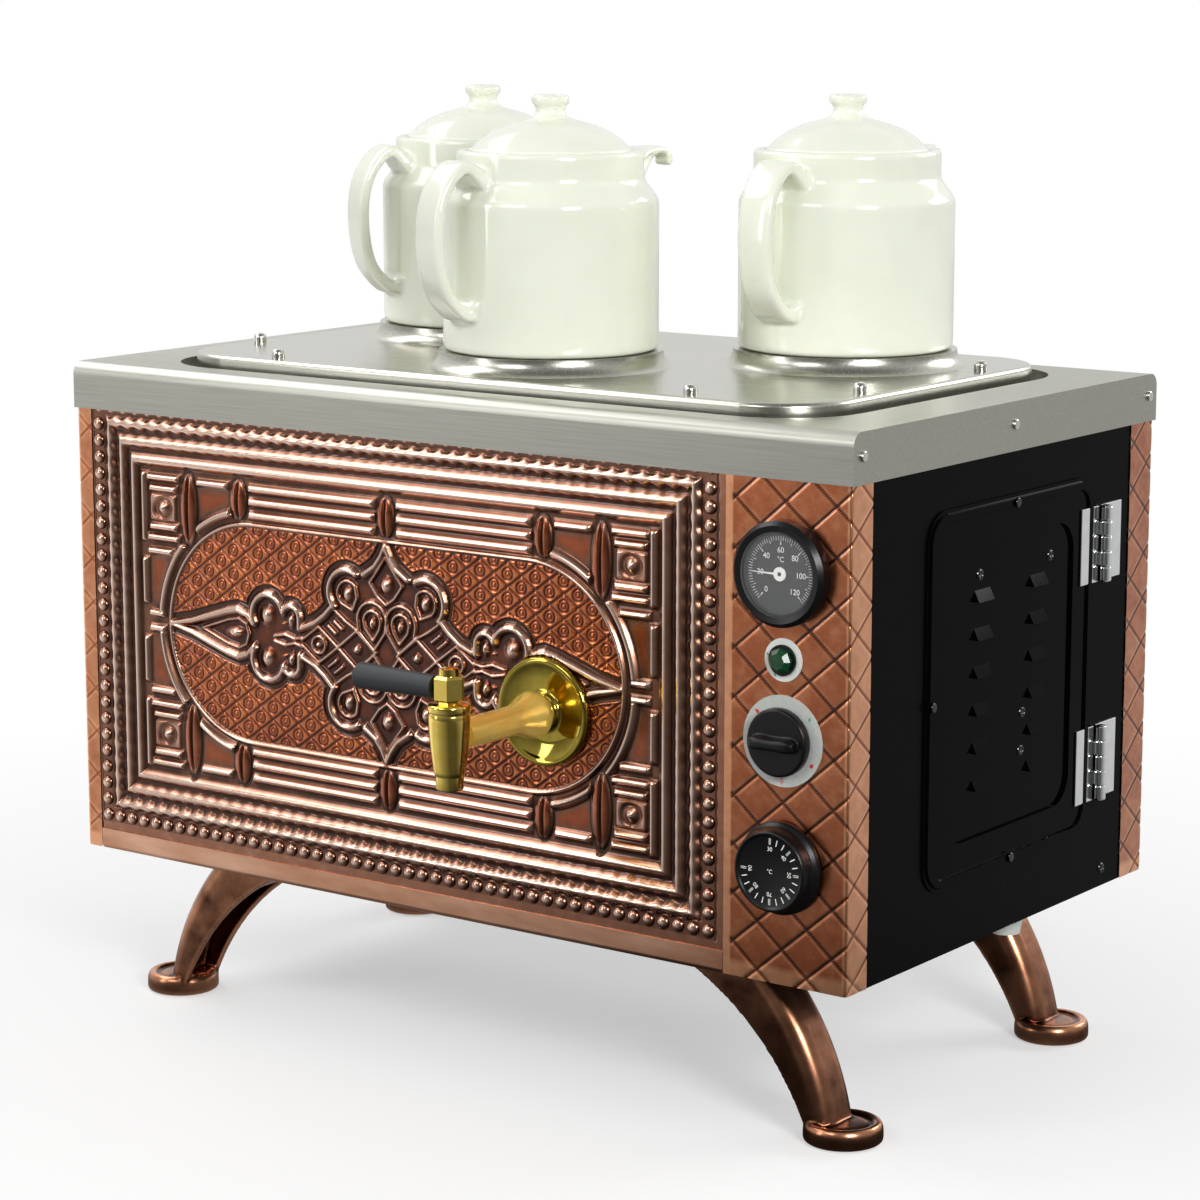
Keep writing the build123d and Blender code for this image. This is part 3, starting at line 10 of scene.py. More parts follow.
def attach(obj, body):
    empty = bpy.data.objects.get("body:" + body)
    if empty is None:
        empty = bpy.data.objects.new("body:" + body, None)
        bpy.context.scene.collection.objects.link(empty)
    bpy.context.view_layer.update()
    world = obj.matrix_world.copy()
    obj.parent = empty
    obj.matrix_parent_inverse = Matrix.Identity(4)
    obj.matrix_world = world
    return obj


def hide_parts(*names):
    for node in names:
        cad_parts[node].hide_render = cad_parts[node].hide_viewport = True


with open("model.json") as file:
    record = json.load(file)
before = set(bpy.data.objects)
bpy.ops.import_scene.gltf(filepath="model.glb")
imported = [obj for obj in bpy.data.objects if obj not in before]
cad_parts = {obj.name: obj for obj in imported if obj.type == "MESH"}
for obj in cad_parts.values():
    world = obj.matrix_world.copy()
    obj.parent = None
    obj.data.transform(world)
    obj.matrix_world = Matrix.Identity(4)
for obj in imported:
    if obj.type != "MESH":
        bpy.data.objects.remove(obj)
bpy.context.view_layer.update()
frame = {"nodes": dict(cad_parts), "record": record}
nodes = frame["nodes"]
mm = 0.001
grainDepth = 0.0002  # depth in metres that the finest unevenness stands for
print("frame loaded,", len(nodes), "pieces")


# Small helpers

def linear(hexColor):
    parts = [int(hexColor[i:i + 2], 16) / 255 for i in (1, 3, 5)]
    return [c / 12.92 if c <= 0.04045 else ((c + 0.055) / 1.055) ** 2.4 for c in parts] + [1.0]


def addNode(tree, kind, settings=(), values=(), links=()):
    made = tree.nodes.new(kind)
    for key, value in dict(settings).items():
        setattr(made, key, value)
    for key, value in dict(values).items():
        made.inputs[key].default_value = value
    for key, source in dict(links).items():
        tree.links.new(source, made.inputs[key])
    return made


def grey(level):
    return (level, level, level, 1)


def mathNode(tree, operation, *sources, **settings):
    # Sockets are linked and plain numbers are set
    made = addNode(tree, "ShaderNodeMath", {"operation": operation, **settings})
    for key, source in enumerate(sources):
        if isinstance(source, float):
            made.inputs[key].default_value = source
        else:
            tree.links.new(source, made.inputs[key])
    return made.outputs["Value"]


def mapped(tree, source, fromRange=(0.0, 1.0), toRange=(0.0, 1.0), **settings):
    limits = dict(zip(("From Min", "From Max", "To Min", "To Max"), (*fromRange, *toRange)))
    return addNode(tree, "ShaderNodeMapRange", settings, limits, {"Value": source}).outputs["Result"]


def noiseNode(tree, place, scale, detail):
    values = {"Scale": scale, "Detail": detail}
    return addNode(tree, "ShaderNodeTexNoise", {}, values, {"Vector": place}).outputs["Fac"]


def rampNode(tree, source, stops):
    # Colour ramp from (place, colour) pairs in rising order
    made = addNode(tree, "ShaderNodeValToRGB", {}, {}, {"Fac": source})
    marks = made.color_ramp.elements
    marks[0].position, marks[0].color = stops[0]
    marks[1].position, marks[1].color = stops[-1]
    for place, color in stops[1:-1]:
        marks.new(place).color = color
    return made.outputs["Color"]


def newMaterial(name, color, values):
    material = bpy.data.materials.new(name)
    material.use_nodes = True
    tree = material.node_tree
    shader = tree.nodes["Principled BSDF"]
    shader.inputs["Base Color"].default_value = linear(color)
    for key, value in values.items():
        shader.inputs[key].default_value = value
    return material, tree, shader


def unevenSurface(tree, shader, shade, grain, roughness, bump):
    tree.links.new(mapped(tree, shade, toRange=roughness), shader.inputs["Roughness"])
    rough = addNode(tree, "ShaderNodeBump", {}, {"Strength": bump, "Distance": grainDepth}, {"Height": grain})
    tree.links.new(rough.outputs["Normal"], shader.inputs["Normal"])


def mottled(name, colors, values, size, roughness, bump, stretch=(1, 1, 1)):
    # Noise of a real size in metres drives a little colour, gloss and surface unevenness
    material, tree, shader = newMaterial(name, colors[0], values)
    coords = addNode(tree, "ShaderNodeTexCoord")
    mapping = addNode(tree, "ShaderNodeMapping", {}, {"Scale": stretch}, {"Vector": coords.outputs["Object"]})
    noise = noiseNode(tree, mapping.outputs["Vector"], 1 / size, 4.0)
    tint = rampNode(tree, noise, [(0.3, linear(colors[0])), (0.7, linear(colors[1]))])
    tree.links.new(tint, shader.inputs["Base Color"])
    unevenSurface(tree, shader, noise, noise, roughness, bump)
    return material


def inScene(name, data):
    made = bpy.data.objects.new(name, data)
    bpy.context.scene.collection.objects.link(made)
    return made


def bakedMesh(holder):
    # Finished shape of a helper object as a plain mesh; the helper goes
    mesh = bpy.data.meshes.new_from_object(holder.evaluated_get(bpy.context.evaluated_depsgraph_get()))
    holder.modifiers.clear()
    bpy.data.objects.remove(holder)
    return mesh


def newPiece(name, mesh, body, slotName, material, *replaced):
    piece = inScene(name, mesh)
    if material:
        mesh.materials.clear()
        mesh.materials.append(material)
    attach(piece, body)
    if replaced:
        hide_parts(*replaced)
    return piece


def at(x, y, z):
    return Matrix.Translation((x * mm, y * mm, z * mm))


def meshFrom(name, points, faces):
    mesh = bpy.data.meshes.new(name)
    mesh.from_pydata([tuple(p) for p in points], [], [tuple(f) for f in faces])
    mesh.polygons.foreach_set("use_smooth", [True] * len(mesh.polygons))
    mesh.update()
    return mesh


def gridFaces(columns, rows, flip=False):
    first = (np.arange(rows - 1)[:, None] * columns + np.arange(columns - 1)[None, :]).ravel()
    quads = np.stack([first, first + 1, first + columns + 1, first + columns], 1)
    return quads[:, ::-1] if flip else quads


def fastMesh(name, points, quads):
    # Large grids go in by arrays
    mesh = bpy.data.meshes.new(name)
    mesh.vertices.add(len(points))
    mesh.vertices.foreach_set("co", np.asarray(points, np.float32).ravel())
    mesh.loops.add(quads.size)
    mesh.loops.foreach_set("vertex_index", quads.astype(np.int32).ravel())
    mesh.polygons.add(len(quads))
    mesh.polygons.foreach_set("loop_start", np.arange(0, quads.size, 4, dtype=np.int32))
    mesh.polygons.foreach_set("use_smooth", np.ones(len(quads), bool))
    mesh.update(calc_edges=True)
    mesh.validate()
    return mesh


def setAttribute(mesh, name, values):
    attribute = mesh.attributes.new(name, "FLOAT", "POINT")
    attribute.data.foreach_set("value", np.asarray(values, np.float32).ravel())


def lathe(profile, place, segments=96):
    # Closed outline of (radius, height) pairs turned about the axis; points on the axis become one pole
    points, rings = [], []
    for radius, height in profile:
        if radius < 1e-6:
            rings.append([len(points)])
            points.append((0, 0, height))
        else:
            first = len(points)
            rings.append(list(range(first, first + segments)))
            for turn in np.linspace(0, 2 * math.pi, segments, endpoint=False):
                points.append((radius * math.cos(turn), radius * math.sin(turn), height))
    faces = []
    for low, high in zip(rings, rings[1:] + rings[:1]):
        if len(low) == 1 and len(high) == 1:
            continue
        for k in range(segments):
            n = (k + 1) % segments
            corners = [low[k % len(low)], low[n % len(low)], high[n % len(high)], high[k % len(high)]]
            faces.append(list(dict.fromkeys(corners)))
    return [place @ (Vector(p) * mm) for p in points], faces


def closedMesh(name, shells, sharpAngle=40.0):
    # Joins closed shells, turns their faces outwards and keeps edges crisper than the angle
    joined = bmesh.new()
    for points, faces in shells:
        made = [joined.verts.new(p) for p in points]
        for face in faces:
            joined.faces.new([made[k] for k in face])
    bmesh.ops.recalc_face_normals(joined, faces=joined.faces)
    for face in joined.faces:
        face.smooth = True
    for edge in joined.edges:
        edge.smooth = edge.calc_face_angle(0.0) < math.radians(sharpAngle)
    mesh = bpy.data.meshes.new(name)
    joined.to_mesh(mesh)
    joined.free()
    return mesh


def smoothPath(points, count):
    # Catmull-Rom curve through the points
    pts = [np.array(p, float) for p in points]
    pts = [2 * pts[0] - pts[1]] + pts + [2 * pts[-1] - pts[-2]]
    out = []
    for share in np.linspace(0, len(points) - 1, count):
        k = min(int(share), len(points) - 2)
        t = share - k
        a, b, c, d = pts[k:k + 4]
        curve = 2 * b + (c - a) * t + (2 * a - 5 * b + 4 * c - d) * t * t + (3 * b - a - 3 * c + d) * t ** 3
        out.append(0.5 * curve)
    return np.array(out)


def sweepXZ(path, halfWidths, halfThicks, sides=20, power=0.62):
    # Rounded section along a path in the XZ plane, closed at both ends
    along = np.gradient(path, axis=0)
    along /= np.linalg.norm(along, axis=1)[:, None]
    points = []
    for (x, z), (tx, tz), wide, thick in zip(path, along, halfWidths, halfThicks):
        for turn in np.linspace(0, 2 * math.pi, sides, endpoint=False):
            c, s = math.cos(turn), math.sin(turn)
            across = wide * math.copysign(abs(c) ** power, c)
            out = thick * math.copysign(abs(s) ** power, s)
            points.append((x - tz * out, across, z + tx * out))
    faces = []
    for ring in range(len(path) - 1):
        for k in range(sides):
            n = (k + 1) % sides
            a = ring * sides
            faces.append([a + k, a + n, a + sides + n, a + sides + k])
    faces.append(list(range(sides)))
    last = (len(path) - 1) * sides
    faces.append(list(range(last, last + sides)))
    return [Vector(p) * mm for p in points], faces


def fusedMesh(name, mesh, voxel, rounds):
    # Melts overlapping shells into one skin and softens it, as glaze does
    holder = inScene(name, mesh)
    melt = holder.modifiers.new("melt", "REMESH")
    melt.mode, melt.voxel_size, melt.use_smooth_shade = "VOXEL", voxel * mm, True
    soften = holder.modifiers.new("soften", "SMOOTH")
    soften.factor, soften.iterations = 0.5, rounds
    return bakedMesh(holder)


def turnedPiece(name, profile, place, body, slotName, material, node, segments=96, sharpAngle=50):
    mesh = closedMesh(name, [lathe(profile, place, segments)], sharpAngle)
    newPiece(name, mesh, body, slotName, material, node)


def newTree(name, sizes):
    # Geometry Nodes tree with loose points in, named sizes and a mesh out
    tree = bpy.data.node_groups.new(name, "GeometryNodeTree")
    tree.interface.new_socket("Points", in_out="INPUT", socket_type="NodeSocketGeometry")
    for label, (kind, value) in sizes.items():
        socket = tree.interface.new_socket(label, in_out="INPUT", socket_type="NodeSocket" + kind)
        if value is not None:
            socket.default_value = value
    tree.interface.new_socket("Mesh", in_out="OUTPUT", socket_type="NodeSocketGeometry")
    return tree, addNode(tree, "NodeGroupInput").outputs, addNode(tree, "NodeGroupOutput")


def finishTree(tree, last, instances, material):
    solid = addNode(tree, "GeometryNodeRealizeInstances", {}, {}, {0: instances})
    painted = addNode(tree, "GeometryNodeSetMaterial", {}, {"Material": material}, {0: solid.outputs[0]})
    tree.links.new(painted.outputs[0], last.inputs[0])


def grown(name, tree, points, sizes):
    # Runs a tree on loose points and keeps the result as a plain mesh
    holder = inScene(name, meshFrom(name, points, []))
    modifier = holder.modifiers.new(name, "NODES")
    modifier.node_group = tree
    for item in tree.interface.items_tree:
        if item.in_out == "INPUT" and item.name in sizes:
            modifier[item.identifier] = sizes[item.name]
    mesh = bakedMesh(holder)
    mesh.name = name
    return mesh


def placedCopy(mesh, place, name):
    copy = mesh.copy()
    copy.name = name
    copy.transform(place)
    return copy


# Materials

metal, paint, brushed = {"Metallic": 1.0}, {"IOR": 1.5}, (0.012, 1, 1)

brushedStainless = mottled(  # sheet brushed across its length: soft grey with fine streaks
    "brushedStainlessSheet", ("#A5A59C", "#B8B7AE"), {**metal, "Anisotropic": 0.4}, 0.0008, (0.32, 0.42), 0.03, brushed)
spunStainless = mottled(  # pressed lid, a little brighter than the tray
    "pressedStainlessLid", ("#B2B1A7", "#C1BFB5"), metal, 0.0008, (0.22, 0.3), 0.012, brushed)
nickelPlate = mottled(  # bright plated fasteners
    "nickelPlatedSteel", ("#C9C8C2", "#DBDAD4"), metal, 0.001, (0.12, 0.2), 0.02)
chromePlate = mottled(  # polished hinge plating, mirror-like
    "polishedChrome", ("#E2E3E4", "#ECEDEE"), metal, 0.01, (0.04, 0.07), 0.004)
polishedBrass = mottled(  # cast and buffed brass, warm mirror with soft unevenness
    "buffedBrass", ("#EDCC60", "#F5D974"), metal, 0.006, (0.1, 0.16), 0.012)
satinBrass = mottled(  # lacquered pipe, a satin gold that takes the light softly
    "satinLacqueredBrass", ("#FFDC68", "#FFE780"), {"Metallic": 0.66}, 0.006, (0.2, 0.28), 0.012)
# The rosette's brass is darker than the other brass: painted shade standing in for the dark reflection in its dish
rosetteBrassPaintedShade = mottled(  # thin spun rosette, deeper olive mirror
    "brassRosettePaintedShade", ("#A38F3A", "#B29F48"), metal, 0.008, (0.05, 0.08), 0.008)
blackPaint = mottled(  # dull powder coat over flat sheet, slight orange peel
    "blackPowderCoat", ("#070707", "#0B0B0B"), {**paint, "Specular IOR Level": 0.02}, 0.0015, (0.24, 0.3), 0.012)
glossBlack = mottled(  # deeper stoved black of the door, with a faint sheen
    "stovedBlackEnamel", ("#030303", "#050505"), {**paint, "Specular IOR Level": 0.025}, 0.004, (0.08, 0.12), 0.02)
darkPlate = mottled(  # blackened screws with a bright glint on the dome
    "blackenedSteel", ("#3E3E3D", "#4C4C4A"), metal, 0.001, (0.14, 0.2), 0.02)
blackPlastic = mottled(  # moulded and lightly textured
    "blackMouldedPlastic", ("#08080A", "#0D0D0F"), {**paint, "Specular IOR Level": 0.3}, 0.0008, (0.26, 0.36), 0.06)
greyRubber = mottled(  # sleeve of the tap lever, matt
    "darkGreySleeve", ("#222629", "#2B2F32"), paint, 0.001, (0.5, 0.62), 0.1)
dialBlack = mottled(  # printed dial, flat and fine grained
    "mattDialPaint", ("#1C1D1F", "#26272A"), {"IOR": 1.45}, 0.0004, (0.6, 0.7), 0.05)
satinGrey = mottled(  # selector plate, satin and a little darker
    "satinGreyPlate", ("#B0B4AF", "#BEC2BC"), paint, 0.002, (0.35, 0.45), 0.03)
paleGrey = mottled(  # printed plate, pale grey
    "paleGreyPlate", ("#CFD3CE", "#DADDD8"), paint, 0.002, (0.35, 0.45), 0.03)
whitePaint = mottled(  # printed marks and the needle
    "whitePrintPaint", ("#EDEDE8", "#F4F4F0"), paint, 0.001, (0.4, 0.5), 0.02)
greenPaint = mottled(  # printed green marks
    "greenPrintPaint", ("#0E8F6A", "#149B74"), paint, 0.001, (0.4, 0.5), 0.02)
redPaint = mottled(  # printed red marks
    "redPrintPaint", ("#C2282C", "#CF3134"), paint, 0.001, (0.4, 0.5), 0.02)
greenLens = mottled(  # tinted clear plastic over an unlit lamp
    "greenTintedLens", ("#04301A", "#075027"), {**paint, "Coat Weight": 0.1, "Transmission Weight": 0.2}, 0.003,
    (0.2, 0.3), 0.05)
clearGlass = mottled(  # flat window glass
    "clearWindowGlass", ("#FFFFFF", "#FAFDFC"), {"IOR": 1.45, "Alpha": 0.05}, 0.02, (0.02, 0.04), 0.0)
zincSheet = mottled(  # dull galvanised pan
    "galvanisedSheet", ("#8E9193", "#A2A5A7"), metal, 0.006, (0.4, 0.55), 0.05)
castIron = mottled(  # as cast, grainy
    "sandCastIron", ("#232325", "#2E2E30"), paint, 0.0012, (0.6, 0.75), 0.3)
siliconePale = mottled(  # moulded gasket, pale and slightly greasy to the eye
    "siliconeGasket", ("#BDBEB8", "#C9CAC4"), {"IOR": 1.41}, 0.002, (0.5, 0.6), 0.05)
porcelain = mottled(  # thick glossy cream glaze, a hint of green
    "creamPorcelainGlaze", ("#EAEDDC", "#EEF1E1"),
    {"IOR": 1.52, "Coat Weight": 0.4, "Coat Roughness": 0.04, "Subsurface Weight": 0.08, "Subsurface Scale": 0.004},
    0.03, (0.1, 0.16), 0.02)


def patinaMaterial(name, hollow, middle, high, flatTint, roughness):
    # Pressed copper darkened in the hollows and rubbed bright on the tops; on the quilted strips the same cavity input
    # also carries painted highlights
    material, tree, shader = newMaterial(name, middle, {**metal, "Coat Weight": 0.7, "Coat Roughness": 0.12})
    cavity, flats = [addNode(tree, "ShaderNodeAttribute", {"attribute_name": label}).outputs["Fac"]
                     for label in ("cavity", "flats")]
    place = addNode(tree, "ShaderNodeTexCoord").outputs["Object"]
    grain, wash = noiseNode(tree, place, 160.0, 5.0), noiseNode(tree, place, 28.0, 3.0)
    cloud = mapped(tree, mathNode(tree, "ADD", grain, wash), (0.0, 2.0), (-0.2, 0.2))
    shade = mathNode(tree, "ADD", cavity, cloud)
    tone = rampNode(tree, shade, [(0.18, linear(high)), (0.46, linear(middle)), (0.78, linear(hollow))])
    warm = addNode(tree, "ShaderNodeMix", {"data_type": "RGBA", "blend_type": "MULTIPLY"}, {7: linear(flatTint)},
                   {0: flats, 6: tone})
    tree.links.new(warm.outputs[2], shader.inputs["Base Color"])
    unevenSurface(tree, shader, shade, grain, roughness, 0.06)
    return material


reliefCopper = patinaMaterial("embossedCopperPatina", "#432414", "#A36C51", "#E8C4B0", "#FFB972", (0.18, 0.32))
quiltCopper = patinaMaterial("quiltedCopperSheet", "#2E140B", "#AD5E34", "#F2AE80", "#FFFFFF", (0.28, 0.4))
railCopper = mottled(  # plain folded copper, paler and pinkish
    "plainCopperFold", ("#C88B6A", "#F2C2A4"), metal, 0.03, (0.24, 0.38), 0.04, (0.4, 1, 1.5))


def castingMaterial():
    # Copper-coated casting, brown wash left in the faces and rubbed off the edges
    material, tree, shader = newMaterial("antiqueCopperCasting", "#6B3B24", {**metal, "Roughness": 0.26})
    place = addNode(tree, "ShaderNodeTexCoord").outputs["Object"]
    worn = mapped(tree, addNode(tree, "ShaderNodeNewGeometry").outputs["Pointiness"], (0.49, 0.56))
    cloud = mapped(tree, noiseNode(tree, place, 60.0, 6.0), toRange=(-0.15, 0.55))
    tone = rampNode(tree, mathNode(tree, "ADD", worn, cloud), [(0.12, linear("#36180F")), (0.9, linear("#E3A07A"))])
    tree.links.new(tone, shader.inputs["Base Color"])
    return material


antiqueCopper = castingMaterial()

finishes = {
    "stainless_steel": brushedStainless, "nickelled_steel": nickelPlate, "embossed_copper": railCopper,
    "black_painted_steel": blackPaint, "galvanised_steel": zincSheet, "copper_coated_casting": antiqueCopper,
    "chrome": chromePlate, "cast_iron": castIron, "polished_brass": polishedBrass, "black_plastic": blackPlastic,
    "pale_grey_plastic": paleGrey, "white_paint": whitePaint, "clear_glass": clearGlass, "green_lens": greenLens,
    "silicone_rubber": siliconePale, "porcelain": porcelain,
}
for entry in frame["record"]["subparts"]:
    data = nodes[entry["node"]].data
    data.materials.clear()
    data.materials.append(finishes[entry["material_slot"]])
special = {"tank_lid": spunStainless, "tap_lever": greyRubber, "thermometer_dial": dialBlack, "door": glossBlack,
           "door_screws": darkPlate, "selector_dial": satinGrey}
for name, material in special.items():
    nodes[name].data.materials[0] = material
print("materials made")


# Embossed front panel

relief = {
    "step": 0.65, "face": -177.0, "height": 3.4, "skirt": 399.4, "underSkirt": 0.5, "centre": (-38.5, 265.3),
    "left": -293.6, "right": 219.2, "low": 110.0, "high": 417.2, "pieces": 4, "shadeReach": 4.0,
    "beadPitch": 10.8, "beadRadius": 4.4, "beadRise": 2.7, "beadSunk": 1.7, "beadHalf": (241.5, 136.2),
    "beadTrack": 5, "beadSeat": 4.6, "margin": (247, 141.5), "tapPlace": (84.5, 245.5), "tapFlat": 34.2,
    "tapLevel": 0.24,
    # How much each thing darkens the copper, and what counts as a plain flat
    "wash": {"base": 0.48, "depth": 0.72, "score": 0.34, "field": 0.1, "beads": 0.14, "groove": 0.3, "core": 0.17,
             "moat": 0.24},
    "hollow": 0.4, "lowSlope": 4, "wideLevel": 1.5, "wideSlope": 7, "wideTint": 0.9, "coreTint": 0.75,
}
# Places and half sizes from the panel's middle, mirrored both ways
ornament = {
    "ridges": ((231, 127.0, 5.6, 0.2), (220.5, 115.7, 5.5, 0.06), (210.5, 104.7, 5.3, 0.0)),
    "longBar": (6.5, 114), "longRows": (93.7, 85.2, 76.7), "longHalf": 4.4,
    "shortBars": ((128, 158, 93.7), (170, 201, 94.2), (172, 199, 87.2), (172, 199, 62), (170, 201, 55), (176, 201, 46),
                  (184, 201, 5)),
    "shortHalf": 3.9, "posts": ((50, 99), (9, 43)), "postX": 202, "postHalf": 4.0,
    "block": (186, 74.6), "blockHalf": (12, 9.5), "blockRing": (7.8, 7.4), "blockLevel": 0.5,
    "blockCut": (0.78, 0.28, 0.42), "blockBoss": (0.55, 0.45),
    "arc": (110, 78.5, 4.6), "arcFrom": (127, 7), "arcTo": (156, 52),
    "ovals": ((0, 85.6, 7.4, 13.2), (121, 85.6, 7.4, 13.2), (164, 75.4, 7.6, 23.5)), "ovalRound": 0.6,
    "slit": (1.0, 0.75), "ovalReach": 1.16, "ovalTop": 0.95, "ovalGroove": (1.06, 0.09), "ovalCore": 0.84,
    "cartouche": (110, 70), "rim": (0.8, 2.6, 0.75), "fieldInset": -1.2, "lattice": (10.5, 7.55), "latticeSlope": 0.163,
    "scoreLine": 0.7, "scoreRings": ((3.7, 0.6, 1.0), (1.7, 0.5, 0.7)), "plate": (0.3, 0.2),
    "moat": (3.0, 6.4), "moatRim": (6.9, 1.4, 0.42), "fineTop": 0.6, "bossTop": 0.85, "bossSpread": 1.4,
    "lobes": ((32, 36, 14.3), (97, 15.3, 12.3), (77.5, 15.3, 6.7)), "waist": (112, 9),
    "reach": ([0, 9, 17, 44, 66, 112, 124, 146, 180], [68, 54, 49, 26, 9.5, 10, 15, 9, 0]),
    "outlineHalf": ([0, 108, 118, 150, 180], [4.2, 4.2, 5.2, 4.8, 3.0]), "fineHalf": 2.3,
    "bosses": ((31, 34.6, 4.4, 5.4), (0, 43, 5.2, 5.4), (11.2, 18, 2.8, 4.4), (98, 13.8, 6.0, 6.2),
               (77.6, 12.6, 3.0, 5.0), (125, 0, 7.2, 3.6), (24, 0, 3.4, 3.0), (55, 0, 3.2, 2.4)),
}


def roof(share):
    # Soft pressed ridge: round on top, easing into the hollow beside it
    return 0.5 + 0.5 * np.cos(math.pi * np.clip(np.abs(share), 0, 1))


def bell(values, middle, half):
    return np.exp(-((values - middle) / half) ** 2)


def segmentDistance(x, z, path):
    best = np.full(x.shape, 1e9)
    for (x0, z0), (x1, z1) in zip(path[:-1], path[1:]):
        vx, vz = x1 - x0, z1 - z0
        t = np.clip(((x - x0) * vx + (z - z0) * vz) / (vx * vx + vz * vz), 0, 1)
        best = np.minimum(best, np.hypot(x - x0 - t * vx, z - z0 - t * vz))
    return best


def nearest(x, z, paths):
    return np.min([segmentDistance(x, z, path) for path in paths], axis=0)


def arcPath(cx, cz, radius, start, end, count=14):
    turns = np.radians(np.linspace(start, end, count))
    return [(cx + radius * math.cos(a), cz + radius * math.sin(a)) for a in turns]


def blurred(values, reach):
    for axis in (0, 1):
        for _ in range(2):
            pad = [(0, 0), (0, 0)]
            pad[axis] = (reach + 1, reach)
            total = np.cumsum(np.pad(values, pad, mode="edge"), axis)
            span = 2 * reach + 1
            upper = np.take(total, range(span, total.shape[axis]), axis)
            lower = np.take(total, range(0, total.shape[axis] - span), axis)
            values = (upper - lower) / span
    return values


def bar(ax, az, x0, x1, zc, half):
    # Raised bar with mitred ends
    end = np.minimum(ax - x0, x1 - ax)
    return np.where(end > 0, roof(np.maximum(np.abs(az - zc) / half, 1 - end / half)), 0)


def bean(ax, az, xc, zc, half, length):
    # Oval boss split by an upright slit, like a coffee bean
    across, tall = (ax - xc) / half, (az - zc) / length
    dome = np.clip(1 - across ** 2 - tall ** 2, 0, 1) ** ornament["ovalRound"]
    slitHalf, slitDepth = ornament["slit"]
    return dome * (1 - slitDepth * bell(ax, xc, slitHalf)), np.hypot(across, tall)


def medallionPaths():
    # Strong outline of one quarter, then the finer nested lines inside it
    tip = [(0, 68), (3.5, 61), (8.5, 54.5), (17.5, 48.5)]
    upperLobe = arcPath(31.5, 35.5, 14.5, 122, -42)
    flank = [(43, 26.2), (50, 19.2), (58, 13.4), (68, 9.4)]
    smallLobe = [(70.6, 8.5)] + arcPath(77.5, 15.3, 6.9, 176, 20, 9)
    sideLobe = arcPath(97, 14.6, 13.0, 168, -28)
    leaf = [(109, 7.5), (114.5, 13), (122.5, 15.2), (132, 13.2), (146, 8.8), (162, 3.8), (180, 0)]
    diamond = [(0, 61), (7, 51.5), (13, 44), (6.5, 35.5), (0, 31)]
    heart = arcPath(11.6, 20, 11.6, 0, 180, 12) + [(1.2, 13), (10, 1.4), (22, 12), (23.2, 20)]
    innerHeart = arcPath(11.4, 19.5, 6.8, 0, 180, 10) + [(5.6, 15), (10.6, 7.5), (17, 15), (18.2, 19.5)]
    lobeHeart = arcPath(31, 35, 8.2, 140, -50, 10) + [(27, 25), (23.5, 33), (24.7, 40.3)]
    seam = [(43, 24.5), (33, 17.5), (23, 12.4), (10, 1.3)]
    cells = [[(39.5, 0), (55, 11.5), (69, 1.5)], [(8.5, 0), (24, 12.2), (39.5, 0)], [(36, 12), (42, 16.4)],
             [(41, 8.6), (47, 13)], arcPath(55, 0, 5.4, 0, 180, 9)]
    knot = [(68.5, 2.8), (75, 1.4), (83, 3.4), (92, 1.6)]
    leafInner = [(113.5, 0), (115.5, 6.6), (122, 9.6), (131, 7.8), (143, 3.6), (153, 0)]
    return ([tip, upperLobe, flank, smallLobe, sideLobe, leaf],
            [diamond, heart, innerHeart, lobeHeart, seam, knot, leafInner] + cells)


def lattice(a, b, half):
    # Diagonal coordinates, and how near the next line is
    u, v = a / half[0] + b / half[1], a / half[0] - b / half[1]
    return u, v, np.minimum(np.abs(u - 2 * np.round(u / 2)), np.abs(v - 2 * np.round(v / 2)))


def borderHeights(dx, dz, ax, az):
    # Three mitred ridges, the outer one scalloped, then bars, corner blocks and the arc at each end
    h = np.zeros(ax.shape)
    for halfX, halfZ, half, wave in ornament["ridges"]:
        away = np.maximum(ax - halfX, az - halfZ)
        along = np.where(ax - halfX > az - halfZ, dz, dx)
        ripple = 1 + wave * np.cos(2 * math.pi * along / relief["beadPitch"])
        h = np.maximum(h, roof(away / (half * ripple)))
    bars = [(*ornament["longBar"], zc, ornament["longHalf"]) for zc in ornament["longRows"]]
    bars += [(*short, ornament["shortHalf"]) for short in ornament["shortBars"]]
    for x0, x1, zc, half in bars:
        h = np.maximum(h, bar(ax, az, x0, x1, zc, half))
    for z0, z1 in ornament["posts"]:
        h = np.maximum(h, bar(az, ax, z0, z1, ornament["postX"], ornament["postHalf"]))
    (blockX, blockZ), (halfX, halfZ), (ringX, ringZ) = ornament["block"], ornament["blockHalf"], ornament["blockRing"]
    (cutRing, cutHalf, cutDepth), (bossHalf, bossTop) = ornament["blockCut"], ornament["blockBoss"]
    ring = np.hypot((ax - blockX) / ringX, (az - blockZ) / ringZ)
    plate = np.clip((halfX - np.abs(ax - blockX)) / 2, 0, 1) * np.clip((halfZ - np.abs(az - blockZ)) / 2, 0, 1)
    face = ornament["blockLevel"] - cutDepth * bell(ring, cutRing, cutHalf) + bossTop * roof(ring / bossHalf)
    h = np.maximum(h, plate * face)
    centre, radius, half = ornament["arc"]
    (fromX, fromZ), (toX, toZ) = ornament["arcFrom"], ornament["arcTo"]
    onArc = (ax > fromX) & ((ax < toX) | (az < toZ)) & (az > fromZ)
    return np.maximum(h, np.where(onArc, roof((np.hypot(ax - centre, az) - radius) / half), 0))


def addOvals(h, ax, az):
    # Split ovals between the bars, each in its own dark groove
    groove, core = np.zeros(h.shape), np.zeros(h.shape, bool)
    for xc, zc, half, tall in ornament["ovals"]:
        boss, reach = bean(ax, az, xc, zc, half, tall)
        h = np.where(reach < ornament["ovalReach"], boss * ornament["ovalTop"], h)
        groove = np.maximum(groove, bell(reach, *ornament["ovalGroove"]))
        core |= reach < ornament["ovalCore"]
    return h, groove, core


